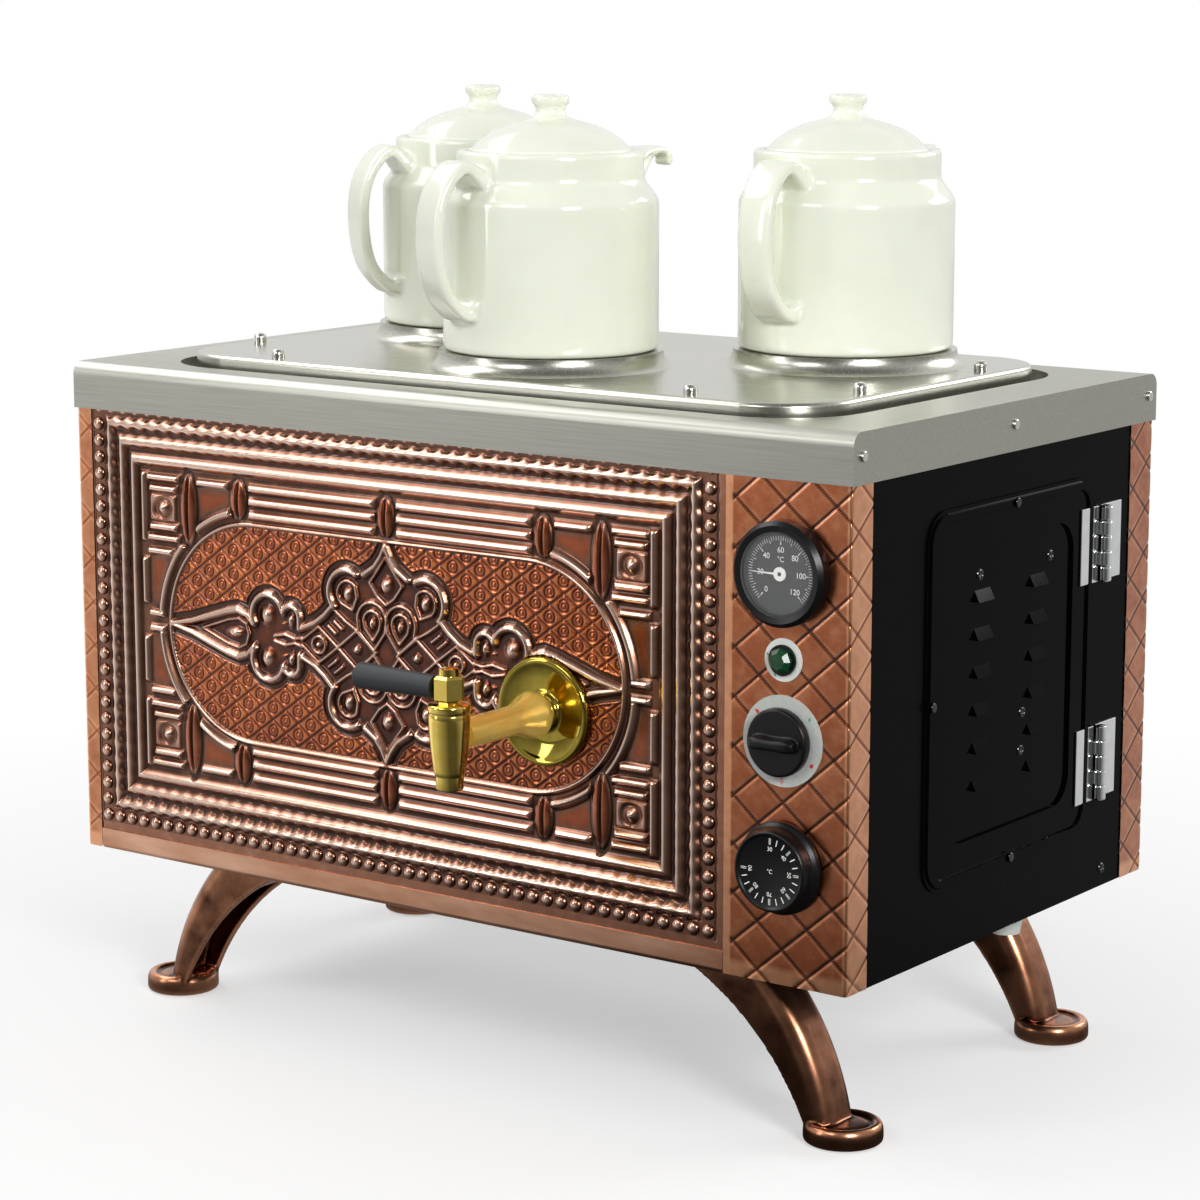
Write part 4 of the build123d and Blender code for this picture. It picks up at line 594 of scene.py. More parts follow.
def scoredField(dx, dz):
    # Diamond lines with two rings scored in each cell
    halfU, halfV = ornament["lattice"]
    u, v, line = lattice(dx, dz, ornament["lattice"])
    cu, cv = u - 2 * np.floor(u / 2) - 1, v - 2 * np.floor(v / 2) - 1
    spot = np.hypot((cu + cv) / 2 * halfU, (cu - cv) / 2 * halfV)
    scored = bell(line / ornament["latticeSlope"], 0, ornament["scoreLine"])
    for radius, half, depth in ornament["scoreRings"]:
        scored = scored + depth * bell(spot, radius, half)
    return np.clip(scored, 0, 1)


def addMedallion(h, ax, az, edge, scored):
    # Strong outer ridge, finer inner ones and bosses, with a sunk moat between it and the diamond field
    outer, inner = medallionPaths()
    within = az < np.interp(ax, *ornament["reach"])
    for x, z, radius in ornament["lobes"]:
        within |= np.hypot(ax - x, az - z) < radius
    within |= (ax < ornament["waist"][0]) & (az < ornament["waist"][1])
    far, fine = nearest(ax, az, outer), nearest(ax, az, inner)
    inRim = edge < ornament["fieldInset"]
    moatIn, moatOut = ornament["moat"]
    field = inRim & ~within & (far > moatOut)
    level, scoreDepth = ornament["plate"]
    h = np.where(inRim, np.where(field, level - scoreDepth * scored, 0), h)
    middle, half, top = ornament["moatRim"]
    h = np.maximum(h, np.where(inRim & ~within, roof((far - middle) / half) * top, 0))
    h = np.where(edge < 0, np.maximum(h, roof(far / np.interp(ax, *ornament["outlineHalf"]))), h)
    finer = roof(fine / ornament["fineHalf"]) * ornament["fineTop"]
    for x, z, halfX, halfZ in ornament["bosses"]:
        away = np.hypot((ax - x) / halfX, (az - z) / halfZ)
        finer = np.maximum(finer, roof(away / ornament["bossSpread"]) * ornament["bossTop"])
    h = np.where((edge < 0) & within, np.maximum(h, finer), h)
    return h, field, inRim & within, inRim & ~within & (far > moatIn) & (far <= moatOut)


def makeRelief():
    xs = np.arange(relief["left"], relief["right"], relief["step"])
    zs = np.arange(relief["low"], relief["high"], relief["step"])
    x, z = np.meshgrid(xs, zs)
    dx, dz = x - relief["centre"][0], z - relief["centre"][1]
    ax, az = np.abs(dx), np.abs(dz)
    h, groove, core = addOvals(borderHeights(dx, dz, ax, az), ax, az)
    edge = np.hypot(np.maximum(ax - ornament["cartouche"][0], 0), az) - ornament["cartouche"][1]
    offset, half, top = ornament["rim"]
    h = np.maximum(h, roof((edge - offset) / half) * top)
    scored = scoredField(dx, dz)
    h, field, medallion, moat = addMedallion(h, ax, az, edge, scored)
    # Flat seat of the tap, the track of the beads, the plain margin and the part under the tray's skirt
    flat = np.hypot(x - relief["tapPlace"][0], z - relief["tapPlace"][1]) < relief["tapFlat"]
    h = np.where(flat, relief["tapLevel"], h)
    (beadX, beadZ), reach = relief["beadHalf"], relief["beadTrack"]
    track = np.minimum(np.where(az < beadZ + reach, np.abs(ax - beadX), 99),
                       np.where(ax < beadX + reach, np.abs(az - beadZ), 99))
    margin = (ax > relief["margin"][0]) | (az > relief["margin"][1])
    h = np.where(margin | (track < reach), np.maximum(h, relief["tapLevel"]), h)
    h = np.where(z > relief["skirt"], np.minimum(h, relief["underSkirt"]), h)
    # Dark wash stays round and inside the ovals, in the moat and in the medallion's hollows
    core |= medallion & (h < relief["hollow"])
    wash = relief["wash"]
    stain = wash["groove"] * groove + wash["core"] * core + wash["moat"] * moat
    beadSeat = track < relief["beadSeat"]
    around = blurred(h, int(relief["shadeReach"] / relief["step"]))
    cavity = wash["base"] + wash["depth"] * (around - h) + wash["score"] * np.where(field, scored, 0) + stain
    cavity = np.clip(cavity - wash["field"] * field + wash["beads"] * beadSeat, 0, 1)
    wide = np.clip(1 - relief["lowSlope"] * h, 0, 1) * np.clip(relief["wideLevel"] - relief["wideSlope"] * around, 0, 1)
    flats = np.where(field, 1.0, np.maximum(relief["wideTint"] * (wide * ~beadSeat), relief["coreTint"] * core))
    y = relief["face"] - relief["height"] * h
    cuts = np.linspace(0, len(xs) - 1, relief["pieces"] + 1).astype(int)
    for index, (a, b) in enumerate(zip(cuts[:-1], cuts[1:])):
        part = (slice(None), slice(a, b + 1))
        points = np.stack([x[part], y[part], z[part]], -1).reshape(-1, 3) * mm
        mesh = fastMesh(f"embossedPanel{index}", points, gridFaces(b + 1 - a, len(zs)))
        setAttribute(mesh, "cavity", cavity[part])
        setAttribute(mesh, "flats", flats[part])
        newPiece(f"embossedPanel{index}", mesh, "casing", "embossed_copper", reliefCopper, "front_panel")


def makeBeads():
    # Row of half-round beads round the panel, dark at the foot and rubbed on top
    tree, size, last = newTree("beadBorder", {"Radius": ("Float", 0.004), "Rise": ("Float", 0.003)})
    ball = addNode(tree, "GeometryNodeMeshUVSphere", {}, {"Segments": 14, "Rings": 9}, {"Radius": size["Radius"]})
    flatten = mathNode(tree, "DIVIDE", size["Rise"], size["Radius"])
    scale = addNode(tree, "ShaderNodeCombineXYZ", {}, {0: 1.0, 2: 1.0}, {1: flatten})
    dome = addNode(tree, "GeometryNodeTransform", {}, {}, {"Geometry": ball.outputs["Mesh"], "Scale": scale.outputs[0]})
    place = addNode(tree, "GeometryNodeInputPosition")
    split = addNode(tree, "ShaderNodeSeparateXYZ", {}, {}, {0: place.outputs[0]})
    level = mathNode(tree, "DIVIDE", split.outputs["Y"], size["Rise"])
    depth = mapped(tree, level, (-1.0, -0.15), (0.2, 0.8))
    worn = addNode(tree, "GeometryNodeStoreNamedAttribute", {"data_type": "FLOAT", "domain": "POINT"},
                   {"Name": "cavity"}, {"Geometry": dome.outputs[0], "Value": depth})
    smooth = addNode(tree, "GeometryNodeSetShadeSmooth", {}, {}, {"Geometry": worn.outputs[0]})
    dots = addNode(tree, "GeometryNodeMeshToPoints", {}, {}, {"Mesh": size["Points"]})
    spread = addNode(tree, "GeometryNodeInstanceOnPoints", {}, {},
                     {"Points": dots.outputs[0], "Instance": smooth.outputs[0]})
    finishTree(tree, last, spread.outputs[0], reliefCopper)
    halfX, halfZ = relief["beadHalf"]
    across, upward = round(2 * halfX / relief["beadPitch"]), round(2 * halfZ / relief["beadPitch"])
    spots = [(sign * halfX, dz) for sign in (-1, 1) for dz in np.linspace(-halfZ, halfZ, upward + 1)]
    spots += [(dx, sign * halfZ) for sign in (-1, 1) for dx in np.linspace(-halfX, halfX, across + 1)[1:-1]]
    points, seat = [], relief["face"] - relief["height"] * relief["tapLevel"]
    for dx, dz in spots:
        z = dz + relief["centre"][1]
        sunk = relief["beadSunk"] if z > relief["skirt"] - relief["beadRadius"] else 0
        points.append(Vector((dx + relief["centre"][0], seat + sunk, z)) * mm)
    mesh = grown("beadBorder", tree, points, {"Radius": relief["beadRadius"] * mm, "Rise": relief["beadRise"] * mm})
    newPiece("beadBorder", mesh, "casing", "embossed_copper", None)


makeRelief()
makeBeads()
print("embossed panel made")


# Quilted strips at the corners

quilt = {"half": (17.0, 14.5), "centre": (254.5, 126.8), "groove": 0.65, "depth": 0.5, "puff": 0.12, "puffReach": 3.0,
         "lip": 1.5, "lipWidth": 0.6, "corner": (298.7, 178.7), "fold": 1.6, "foldFrom": 296.4, "low": 106.0,
         "high": 417.9, "lowEdgeHighlight": (11, 4), "step": 1.1, "hem": 5.0,
         # In the wash, lip and the low edge lighten the copper: painted highlights on the shoulder beside each scored
         # line and along the bottom edge
         "wash": {"base": 0.28, "pressed": 0.16, "score": 0.5, "lip": 0.12, "hem": 0.22, "lowEdgeHighlight": 0.2}}


def stripProfile(alongX, alongY):
    # Points round the right front corner, with the run length and the outward direction
    (outX, outY), fold = quilt["corner"], quilt["fold"]
    points, normals = [], []
    for x in np.arange(outX - alongX, outX - fold, quilt["step"]):
        points.append((x, -outY))
        normals.append((0, -1))
    for turn in np.linspace(-90, 0, 9):
        c, s = math.cos(math.radians(turn)), math.sin(math.radians(turn))
        points.append((outX - fold + fold * c, fold - outY + fold * s))
        normals.append((c, s))
    for y in np.append(np.arange(fold - outY + quilt["step"], alongY - outY, quilt["step"]), alongY - outY):
        points.append((outX, y))
        normals.append((1, 0))
    points, normals = np.array(points), np.array(normals)
    run = np.concatenate([[0], np.cumsum(np.hypot(*np.diff(points, axis=0).T))]) + outX - alongX
    return points, normals, run


def makeStrip(name, node, alongX, alongY, signX, signY, hem, pressed=1.0, foldHighlight=-0.17):
    points, normals, run = stripProfile(alongX, alongY)
    zs = np.arange(quilt["low"], quilt["high"], quilt["step"])
    s, z = np.meshgrid(run, zs)
    line = lattice(s - quilt["centre"][0], z - quilt["centre"][1], quilt["half"])[2]
    line = line / math.hypot(1 / quilt["half"][0], 1 / quilt["half"][1])
    quilted = s >= run[0] + hem
    score = np.where(quilted, pressed * bell(line, 0, quilt["groove"]), 0)
    out = -quilt["depth"] * score - quilt["puff"] * np.exp(-line / quilt["puffReach"]) * quilted
    x = signX * (points[None, :, 0] + out * normals[None, :, 0])
    y = signY * (points[None, :, 1] + out * normals[None, :, 1])
    spots = np.stack([x, y, z], -1).reshape(-1, 3) * mm
    mesh = fastMesh(name, spots, gridFaces(len(run), len(zs), signX * signY < 0))
    # Painted highlight: a lighter band on the shoulder beside each scored line, where a pressed groove catches the
    # light
    paintedLipHighlight = bell(line, quilt["lip"], quilt["lipWidth"]) * quilted
    # Painted highlight: the fold round the corner is made lighter, as a bend catching the light
    folded = np.abs(points[None, :, 0]) > quilt["foldFrom"]
    # Painted highlight: the copper is made lighter along the bottom edge, where the sheet bends under and catches the
    # light
    lowEdgeHighlight = np.clip((quilt["low"] + quilt["lowEdgeHighlight"][0] - z) / quilt["lowEdgeHighlight"][1], 0, 1)
    wash = quilt["wash"]
    cavity = wash["base"] + wash["pressed"] * pressed + wash["score"] * score - wash["lip"] * paintedLipHighlight
    cavity = cavity - wash["hem"] * ~quilted + foldHighlight * folded - wash["lowEdgeHighlight"] * lowEdgeHighlight
    setAttribute(mesh, "cavity", np.clip(cavity, 0, 1))
    newPiece(name, mesh, "casing", "embossed_copper", quiltCopper, node)


makeStrip("quiltedControlStrip", "control_strip", 84.7, 22.0, 1, 1, quilt["hem"])
makeStrip("quiltedFrontLeftStrip", "front_left_strip", 12.5, 22.0, -1, 1, 0, 0.4)
for side, sign in (("Right", 1), ("Left", -1)):
    makeStrip(f"quiltedRear{side}Strip", f"rear_{side.lower()}_strip", 22.0, 28.8, sign, -1, 0, 1.0, -0.03)
print("quilted strips made")


# Dials: ticks, numbers and marks laid on the faces

def textShape(words, size):
    curve = bpy.data.curves.new("words", "FONT")
    curve.body, curve.size = words, size * mm
    curve.align_x, curve.align_y = "CENTER", "CENTER"
    return bakedMesh(inScene("words", curve))


def onFront(x, z, out, turn=0.0):
    # Local X stays, local Y goes up, local Z comes out of the front
    flat = Matrix(((1, 0, 0), (0, 0, -1), (0, 1, 0))).to_4x4()
    return at(x, -(quilt["corner"][1] + out), z) @ flat @ Matrix.Rotation(turn, 4, "Z")


def marksPiece(name, shapes, body, slotName, material, lift=0.06):
    # Joins flat shapes, each with its place, into one thin printed layer
    joined = bmesh.new()
    for shape, place in shapes:
        layer = bmesh.new()
        if isinstance(shape, list):
            layer.faces.new([layer.verts.new((px * mm, py * mm, 0)) for px, py in shape])
        else:
            layer.from_mesh(shape)
        layer.transform(place @ Matrix.Translation((0, 0, lift * mm)))
        kept = bpy.data.meshes.new("layer")
        layer.to_mesh(kept)
        joined.from_mesh(kept)
        layer.free()
        bpy.data.meshes.remove(kept)
    mesh = bpy.data.meshes.new(name)
    joined.to_mesh(mesh)
    joined.free()
    newPiece(name, mesh, body, slotName, material)


def tickTree():
    # Ring of printed ticks: count, sweep and tick size are inputs
    sizes = {"Count": ("Int", 7), "Start": ("Float", 0.0), "Sweep": ("Float", 1.0), "Inner": ("Float", 0.01),
             "Outer": ("Float", 0.02), "Width": ("Float", 0.001)}
    tree, size, last = newTree("dialTicks", sizes)
    line = addNode(tree, "GeometryNodeMeshLine", {}, {"Offset": (0, 0, 0)}, {"Count": size["Count"]})
    step = mathNode(tree, "DIVIDE", size["Sweep"], mathNode(tree, "SUBTRACT", size["Count"], 1.0))
    index = addNode(tree, "GeometryNodeInputIndex").outputs[0]
    angle = mathNode(tree, "SUBTRACT", size["Start"], mathNode(tree, "MULTIPLY", index, step))
    euler = addNode(tree, "ShaderNodeCombineXYZ", {}, {}, {2: angle})
    turn = addNode(tree, "FunctionNodeEulerToRotation", {}, {}, {0: euler.outputs[0]})
    length = mathNode(tree, "SUBTRACT", size["Outer"], size["Inner"])
    middle = mathNode(tree, "DIVIDE", mathNode(tree, "ADD", size["Outer"], size["Inner"]), 2.0)
    shift = addNode(tree, "ShaderNodeCombineXYZ", {}, {}, {0: middle})
    dash = addNode(tree, "GeometryNodeMeshGrid", {}, {"Vertices X": 2, "Vertices Y": 2},
                   {"Size X": length, "Size Y": size["Width"]})
    moved = addNode(tree, "GeometryNodeTransform", {}, {},
                    {"Geometry": dash.outputs[0], "Translation": shift.outputs[0]})
    ring = addNode(tree, "GeometryNodeInstanceOnPoints", {}, {},
                   {"Points": line.outputs[0], "Instance": moved.outputs[0], "Rotation": turn.outputs[0]})
    finishTree(tree, last, ring.outputs[0], whitePaint)
    return tree


ticks = tickTree()
dialSweep = 270
# Ticks are (count, length, width), the unit is (rise, size), and marks on the plates are (hour, turn)
thermometer = {
    "x": 254.5, "z": 347.0, "out": 4.5, "start": 225, "numbers": range(0, 121, 20), "numberRadius": 13.6,
    "numberSize": 4.6, "turned": False, "unit": (8.2, 4.2), "tickOuter": 21.6,
    "ticks": ((61, 2.4, 0.26), (13, 3.6, 0.36), (7, 5.0, 0.6)),
}
thermostat = {
    "x": 254.5, "z": 176.0, "out": 13.0, "start": 90, "numbers": range(30, 91, 10), "numberRadius": 13.2,
    "numberSize": 3.6, "turned": True, "unit": (0, 3.4), "tickOuter": 19.7, "ticks": ((19, 3.8, 0.6), (7, 3.8, 1.3)),
}
selector = {
    "x": 254.5, "z": 250.0, "out": 1.2, "markRadius": 23.4, "bolts": ((8, 20), (1.7, -30)), "boltSize": 2.0,
    "flames": ((10.4, 60), (4, -50)), "flameSize": 1.9, "zero": (6, 4.6), "knobTop": 8.6,
    "pointer": [(-18.6, 0.0), (-15.6, -1.5), (-15.6, 1.5)],
}
pilot = {"x": 254.5, "z": 297.0, "out": 1.0, "markRadius": 10.7, "bolts": ((9.4, 30), (7.0, 30)), "boltSize": 1.7}
boltMark = ((-0.5, 0.1), (0.2, 1.0), (0.1, 0.2), (0.55, 0.25), (-0.15, -1.0), (-0.05, -0.1))
flameMark = ((0, -1), (0.6, -0.5), (0.55, 0.1), (0.2, 0.3), (0.1, 1.0), (-0.35, 0.4), (-0.6, -0.2), (-0.5, -0.7))


def makeDialMarks(name, dial, body):
    x, z, out, outer, r = (dial[key] for key in ("x", "z", "out", "tickOuter", "numberRadius"))
    shapes = []
    for count, length, width in dial["ticks"]:
        sizes = {"Count": count, "Start": math.radians(dial["start"]), "Sweep": math.radians(dialSweep),
                 "Inner": (outer - length) * mm, "Outer": outer * mm, "Width": width * mm}
        shapes.append((grown("tickRing", ticks, [(0, 0, 0)], sizes), onFront(x, z, out)))
    for index, number in enumerate(dial["numbers"]):
        turn = math.radians(dial["start"] - dialSweep * index / (len(dial["numbers"]) - 1))
        spin = turn - math.pi / 2 if dial["turned"] else 0.0
        place = onFront(x + r * math.cos(turn), z + r * math.sin(turn), out, spin)
        shapes.append((textShape(str(number), dial["numberSize"]), place))
    rise, size = dial["unit"]
    shapes.append((textShape("°C", size), onFront(x, z + rise, out)))
    marksPiece(name, shapes, body, "white_paint", whitePaint)


def atHour(dial, clock, turn=0):
    a, r = math.radians(90 - clock * 30), dial["markRadius"]
    return onFront(dial["x"] + r * math.cos(a), dial["z"] + r * math.sin(a), dial["out"], math.radians(turn))


def plateMarks(dial, mark, size, spots):
    shape = [(px * size, py * size) for px, py in mark]
    return [(shape, atHour(dial, clock, turn)) for clock, turn in spots]


def makePlateMarks():
    flames = plateMarks(selector, flameMark, selector["flameSize"], selector["flames"])
    hour, size = selector["zero"]
    flames.append((textShape("0", size), atHour(selector, hour)))
    bolts, lamps = (plateMarks(dial, boltMark, dial["boltSize"], dial["bolts"]) for dial in (selector, pilot))
    pointer = [(selector["pointer"], onFront(selector["x"], selector["z"], selector["knobTop"]))]
    marksPiece("selectorBolts", bolts, "casing", "pale_grey_plastic", greenPaint)
    marksPiece("selectorFlames", flames, "casing", "pale_grey_plastic", redPaint)
    marksPiece("selectorPointer", pointer, "selector", "white_paint", whitePaint)
    marksPiece("pilotBolts", lamps, "casing", "pale_grey_plastic", greenPaint)


makeDialMarks("thermometerMarks", thermometer, "casing")
makeDialMarks("thermostatMarks", thermostat, "thermostat")
makePlateMarks()
print("dials marked")


# Teapots and their lids

pot = {
    "places": {"left": (-144.5, 56.2, -118), "centre": (0.0, -60.0, -107), "right": (144.5, 56.2, -95)},
    "base": 447.5, "radius": 67.8, "shoulder": (91.0, 108.0), "neck": 58.6, "voxel": 1.4, "softening": 4,
    "foot": [(0, 2), (60.5, 2), (60.5, 0), (65, 0), (67, 1), (67.8, 3.2), (67.8, 30), (67.8, 60)],
    "rim": [(58.6, 116), (58.7, 121), (58.2, 123), (56.6, 124), (52.4, 124), (51.2, 123), (51, 120.3), (46, 120.3)],
    "inside": [(46, 116.4), (53.2, 109), (62.8, 86), (62.8, 40), (62.8, 12), (58, 6), (0, 6)],
    "handle": [(56, 103), (71, 115.5), (86.5, 99), (91, 72), (86, 42), (71, 25.5), (62, 32)], "strap": (12.6, 3.9),
    "rootFlare": (4.5, 1.6), "rootReach": (15, 13),
    "spout": [(52, 110), (60, 118), (70, 121.3), (83, 121.4)], "curl": (83.5, 115.6, 5.8), "lipWide": (23, 15),
    "lipThick": 2.5, "under": [(54, 106), (60, 110), (66, 114.5), (72, 118), (78, 120)],
    "underWide": [20, 17, 13, 10, 7.5], "underThick": [7.0, 7.0, 5.5, 3.6, 2.0],
}
potLid = {
    "outside": [(41, 117), (41.5, 117), (41.5, 120.6), (50.2, 120.6), (50.6, 121), (50.6, 123.8), (50.1, 124.7),
                (49, 125.2), (44, 130.2), (36, 135.4), (28, 138.9), (20, 141.2), (14.5, 142.6), (11.4, 143.8),
                (9.9, 145.4), (9.2, 147.4), (9.2, 149.4), (9.9, 151.0), (11.2, 152.2), (11.7, 153.4), (11.8, 155.2),
                (11.3, 156.8), (9.8, 157.6), (6, 157.8), (0, 157.8)],
    "inside": [(0, 138), (20, 136), (34, 130), (41, 121)],
}


def potShape():
    low, high = pot["shoulder"]
    shoulder = []
    for t in np.linspace(0, 1, 10):
        ease = t * t * (3 - 2 * t)
        shoulder.append((pot["radius"] + (pot["neck"] - pot["radius"]) * ease, low + (high - low) * t))
    body = lathe(pot["foot"] + shoulder + pot["rim"] + pot["inside"], Matrix.Identity(4))
    # Handle, wider and thicker at both roots
    path = smoothPath([(-r, z) for r, z in pot["handle"]], 44)
    run = np.concatenate([[0], np.cumsum(np.hypot(*np.diff(path, axis=0).T))])
    first, last = pot["rootReach"]
    root = bell(run, 0, first) + bell(run[-1] - run, 0, last)
    wide, thick = (size + flare * root for size, flare in zip(pot["strap"], pot["rootFlare"]))
    strap = sweepXZ(path, wide, thick, 28, 0.42)
    # Spout's lip, curled over at its end, and the wedge below it
    lip = list(smoothPath(pot["spout"], 14))
    cx, cz, r = pot["curl"]
    lip += [(cx + r * math.cos(a), cz + r * math.sin(a)) for a in np.radians(np.linspace(80, -40, 12))]
    lip = np.array(lip)
    share = np.clip((lip[:, 0] - 54) / 30, 0, 1)
    beak = sweepXZ(lip, pot["lipWide"][0] - pot["lipWide"][1] * share ** 0.8, np.full(len(lip), pot["lipThick"]), 20)
    wedge = sweepXZ(*(np.array(pot[key]) for key in ("under", "underWide", "underThick")), 16)
    return fusedMesh("potSkin", closedMesh("potShells", [body, strap, beak, wedge]), pot["voxel"], pot["softening"])


def makePots():
    skin = potShape()
    lidSkin = closedMesh("lidSkin", [lathe(potLid["outside"] + potLid["inside"], Matrix.Identity(4), 72)], 60)
    for side, (x, y, turn) in pot["places"].items():
        place = at(x, y, pot["base"]) @ Matrix.Rotation(math.radians(turn + 180), 4, "Z")
        for kind, shape, label in (("Pot", skin, "pot"), ("Lid", lidSkin, "pot_lid")):
            name = f"glazed{kind}{side.capitalize()}"
            mesh = placedCopy(shape, place, name)
            newPiece(name, mesh, f"{label}_{side}", "porcelain", porcelain, f"tea{label}_{side}")


makePots()
print("pots made")


# Cast legs: the solids softened like a casting, with a full round on the foot

legs = {"foot": (265.0, 126.0), "voxel": 1.1, "softening": 3,
        "rim": [(0, 0.1), (20.5, 0.1), (22.6, 1.0), (23.7, 3.2), (24, 6.5), (23.7, 9.6), (22.4, 12.0), (20.4, 13.0),
                (18.4, 12.2), (17.2, 10.2), (13, 11.4), (0, 12)]}


def makeLegs():
    for name, sx, sy in (("front_right", 1, -1), ("front_left", -1, -1), ("rear_right", 1, 1), ("rear_left", -1, 1)):
        place = at(sx * legs["foot"][0], sy * legs["foot"][1], 0)
        foot = closedMesh("foot", [lathe(legs["rim"], place, 64)])
        joined = bmesh.new()
        joined.from_mesh(nodes["leg_" + name].data)
        bmesh.ops.remove_doubles(joined, verts=joined.verts, dist=1e-6)
        joined.from_mesh(foot)
        whole = bpy.data.meshes.new("legAndFoot")
        joined.to_mesh(whole)
        joined.free()
        title = "castLeg" + name.title().replace("_", "")
        mesh = fusedMesh(title, whole, legs["voxel"], legs["softening"])
        newPiece(title, mesh, "casing", "copper_coated_casting", antiqueCopper, "leg_" + name)


makeLegs()
print("legs made")


# Knobs

knobs = {
    "selectorSkirt": [(0, 1.8), (18.6, 1.8), (19.8, 2.4), (20, 4), (20, 7), (19.5, 8.2), (18.6, 8.6), (0, 8.6)],
    "bar": (15.2, 4.8, 11.2, 5.6), "voxel": 0.5, "softening": 4,
    "thermostat": [(0, 0.6), (27.2, 0.6), (27.5, 1.4), (27.4, 3.6), (26.6, 4.9), (25.4, 5.6), (24.9, 6.4), (24.5, 9),
                   (23.9, 12.9), (23.3, 14.1), (22.4, 14.5), (21.5, 14.1), (21.0, 13.2), (20.6, 13.0), (0, 13.0)],
}


def makeKnobs():
    halfLength, halfWidth, middle, halfHeight = knobs["bar"]
    run = np.linspace(-halfLength, halfLength, 24)
    taper = np.clip(1 - np.abs(run / halfLength) ** 6, 0.25, 1) ** 0.5
    grip = sweepXZ(np.stack([run, np.full(24, middle)], 1), halfWidth * taper * (0.72 + 0.28 * (run / halfLength) ** 2),
                   halfHeight * taper ** 0.6, 28, 0.6)
    skirt = lathe(knobs["selectorSkirt"], Matrix.Identity(4))
    knob = fusedMesh("selectorGrip", closedMesh("selectorGrip", [skirt, grip]), knobs["voxel"], knobs["softening"])
    knob.transform(onFront(selector["x"], selector["z"], 0))
    newPiece("selectorGrip", knob, "selector", "black_plastic", blackPlastic, "selector_knob")
    turnedPiece("thermostatCap", knobs["thermostat"], onFront(thermostat["x"], thermostat["z"], 0), "thermostat",
                "black_plastic", blackPlastic, "thermostat_knob", 128)


makeKnobs()
print("knobs made")


# Brass tap

tap = {
    "x": 84.5, "z": 245.5, "panel": 177.9, "reach": 92.0,
    "rosette": [(9.3, 0), (33.1, 0), (33.5, 0.6), (33.5, 2.4), (33.0, 4.0), (32, 4.8), (30.9, 5.0), (29.7, 4.7),
                (28.4, 4.0), (26, 3.0), (22, 1.9), (18, 1.2), (14, 1.0), (12.2, 1.3), (11.2, 2.2), (10.8, 3.6),
                (10.2, 4.2), (9.3, 4.2)],
    "pipe": [(5, 0.2), (9, 0.2), (9, 10.7), (12.4, 10.7), (13.6, 11.2), (14.4, 12.4), (14.5, 14), (14.2, 16.4),
             (13.2, 19.4), (11.8, 23), (10.4, 27), (9.5, 31), (9, 35), (9, 60), (9, 81), (5, 81)],
    "body": [(0, 20.2), (6.7, 20.2), (6.7, 20.5), (11.4, 20.5), (12.3, 20.1), (12.6, 19.3), (12.6, 16.6), (12.2, 15.8),
             (11.9, 15.4), (12.0, 14.8), (12.3, 14), (12.3, 10), (12, 4), (11.3, -4), (10.4, -12), (9.4, -19),
             (8.9, -21.2), (8.3, -21.8), (8.2, -22.4), (8.2, -29), (7.7, -30), (6, -30), (5.5, -29.4), (5.5, -18),
             (0, -18)],
    "hexagon": [(0, 19), (6.3, 19), (6.3, 22.2), (7.9, 22.2), (9.3, 23.4), (9.3, 35.6), (7.7, 37.2), (0, 37.2)],
    "crown": (6.3, 37.0, 41.0), "crownTaper": (0.92, 0.94), "crownPoints": 16,
}


def crownHalf(axis, side):
    # Half of the spindle's round end; the slot is the gap between two of them
    radius, foot, top = tap["crown"]
    taperX, taperY = tap["crownTaper"]
    count = tap["crownPoints"]
    rim = [(radius * math.cos(a), side * radius * math.sin(a)) for a in np.radians(np.linspace(14, 166, count))]
    low = [axis @ (Vector((px, py, foot)) * mm) for px, py in rim]
    high = [axis @ (Vector((px * taperX, py * taperY, top)) * mm) for px, py in rim]
    walls = [(k, (k + 1) % count, count + (k + 1) % count, count + k) for k in range(count)]
    return low + high, walls + [tuple(range(count)), tuple(range(count, 2 * count))]


def makeTap():
    out = at(tap["x"], -tap["panel"], tap["z"]) @ Matrix.Rotation(math.radians(90), 4, "X")
    axis = at(tap["x"], -(tap["panel"] + tap["reach"]), tap["z"])
    turnedPiece("polishedRosette", tap["rosette"], out, "casing", "polished_brass", rosetteBrassPaintedShade, "tap_rosette", 128)
    turnedPiece("polishedPipe", tap["pipe"], out, "casing", "polished_brass", satinBrass, "tap_pipe", sharpAngle=60)
    shells = [lathe(tap["hexagon"], axis, 6), crownHalf(axis, 1), crownHalf(axis, -1)]
    hexagon = closedMesh("slottedHexagon", shells, 25)
    newPiece("slottedHexagon", hexagon, "tap_handle", "polished_brass", polishedBrass, "tap_spindle")
    turnedPiece("polishedTapBody", tap["body"], axis, "casing", "polished_brass", polishedBrass, "tap_body")


makeTap()
print("tap made")


# Cross-slotted screws on the side

screws = {"door": [(-34, 330), (51, 330), (20, 237.5), (19, 214)], "casing": [(126, 117.5)], "radius": 3.6, "rise": 1.5,
          "slot": 0.24, "slotReach": 0.62, "slotDepth": 0.55, "from": 0.4}


def screwHead():
    # Domed head of unit radius facing +X, with a cross pressed in
    points, faces = [], []
    rings, sides = 9, 40
    for ring in range(rings + 1):
        r = ring / rings
        for k in range(sides):
            turn = 2 * math.pi * k / sides
            y, z = r * math.cos(turn), r * math.sin(turn)
            cross = min(abs(y), abs(z)) < screws["slot"] * 0.7 and r < screws["slotReach"]
            points.append((math.sqrt(max(1 - r * r, 0)) * (screws["slotDepth"] if cross else 1.0), y, z))
    for ring in range(rings):
        for k in range(sides):
            n = (k + 1) % sides
            a, b = ring * sides, (ring + 1) * sides
            faces.append((a + k, b + k, b + n, a + n) if ring else (a, b + k, b + n))
    return meshFrom("screwHead", points, faces)


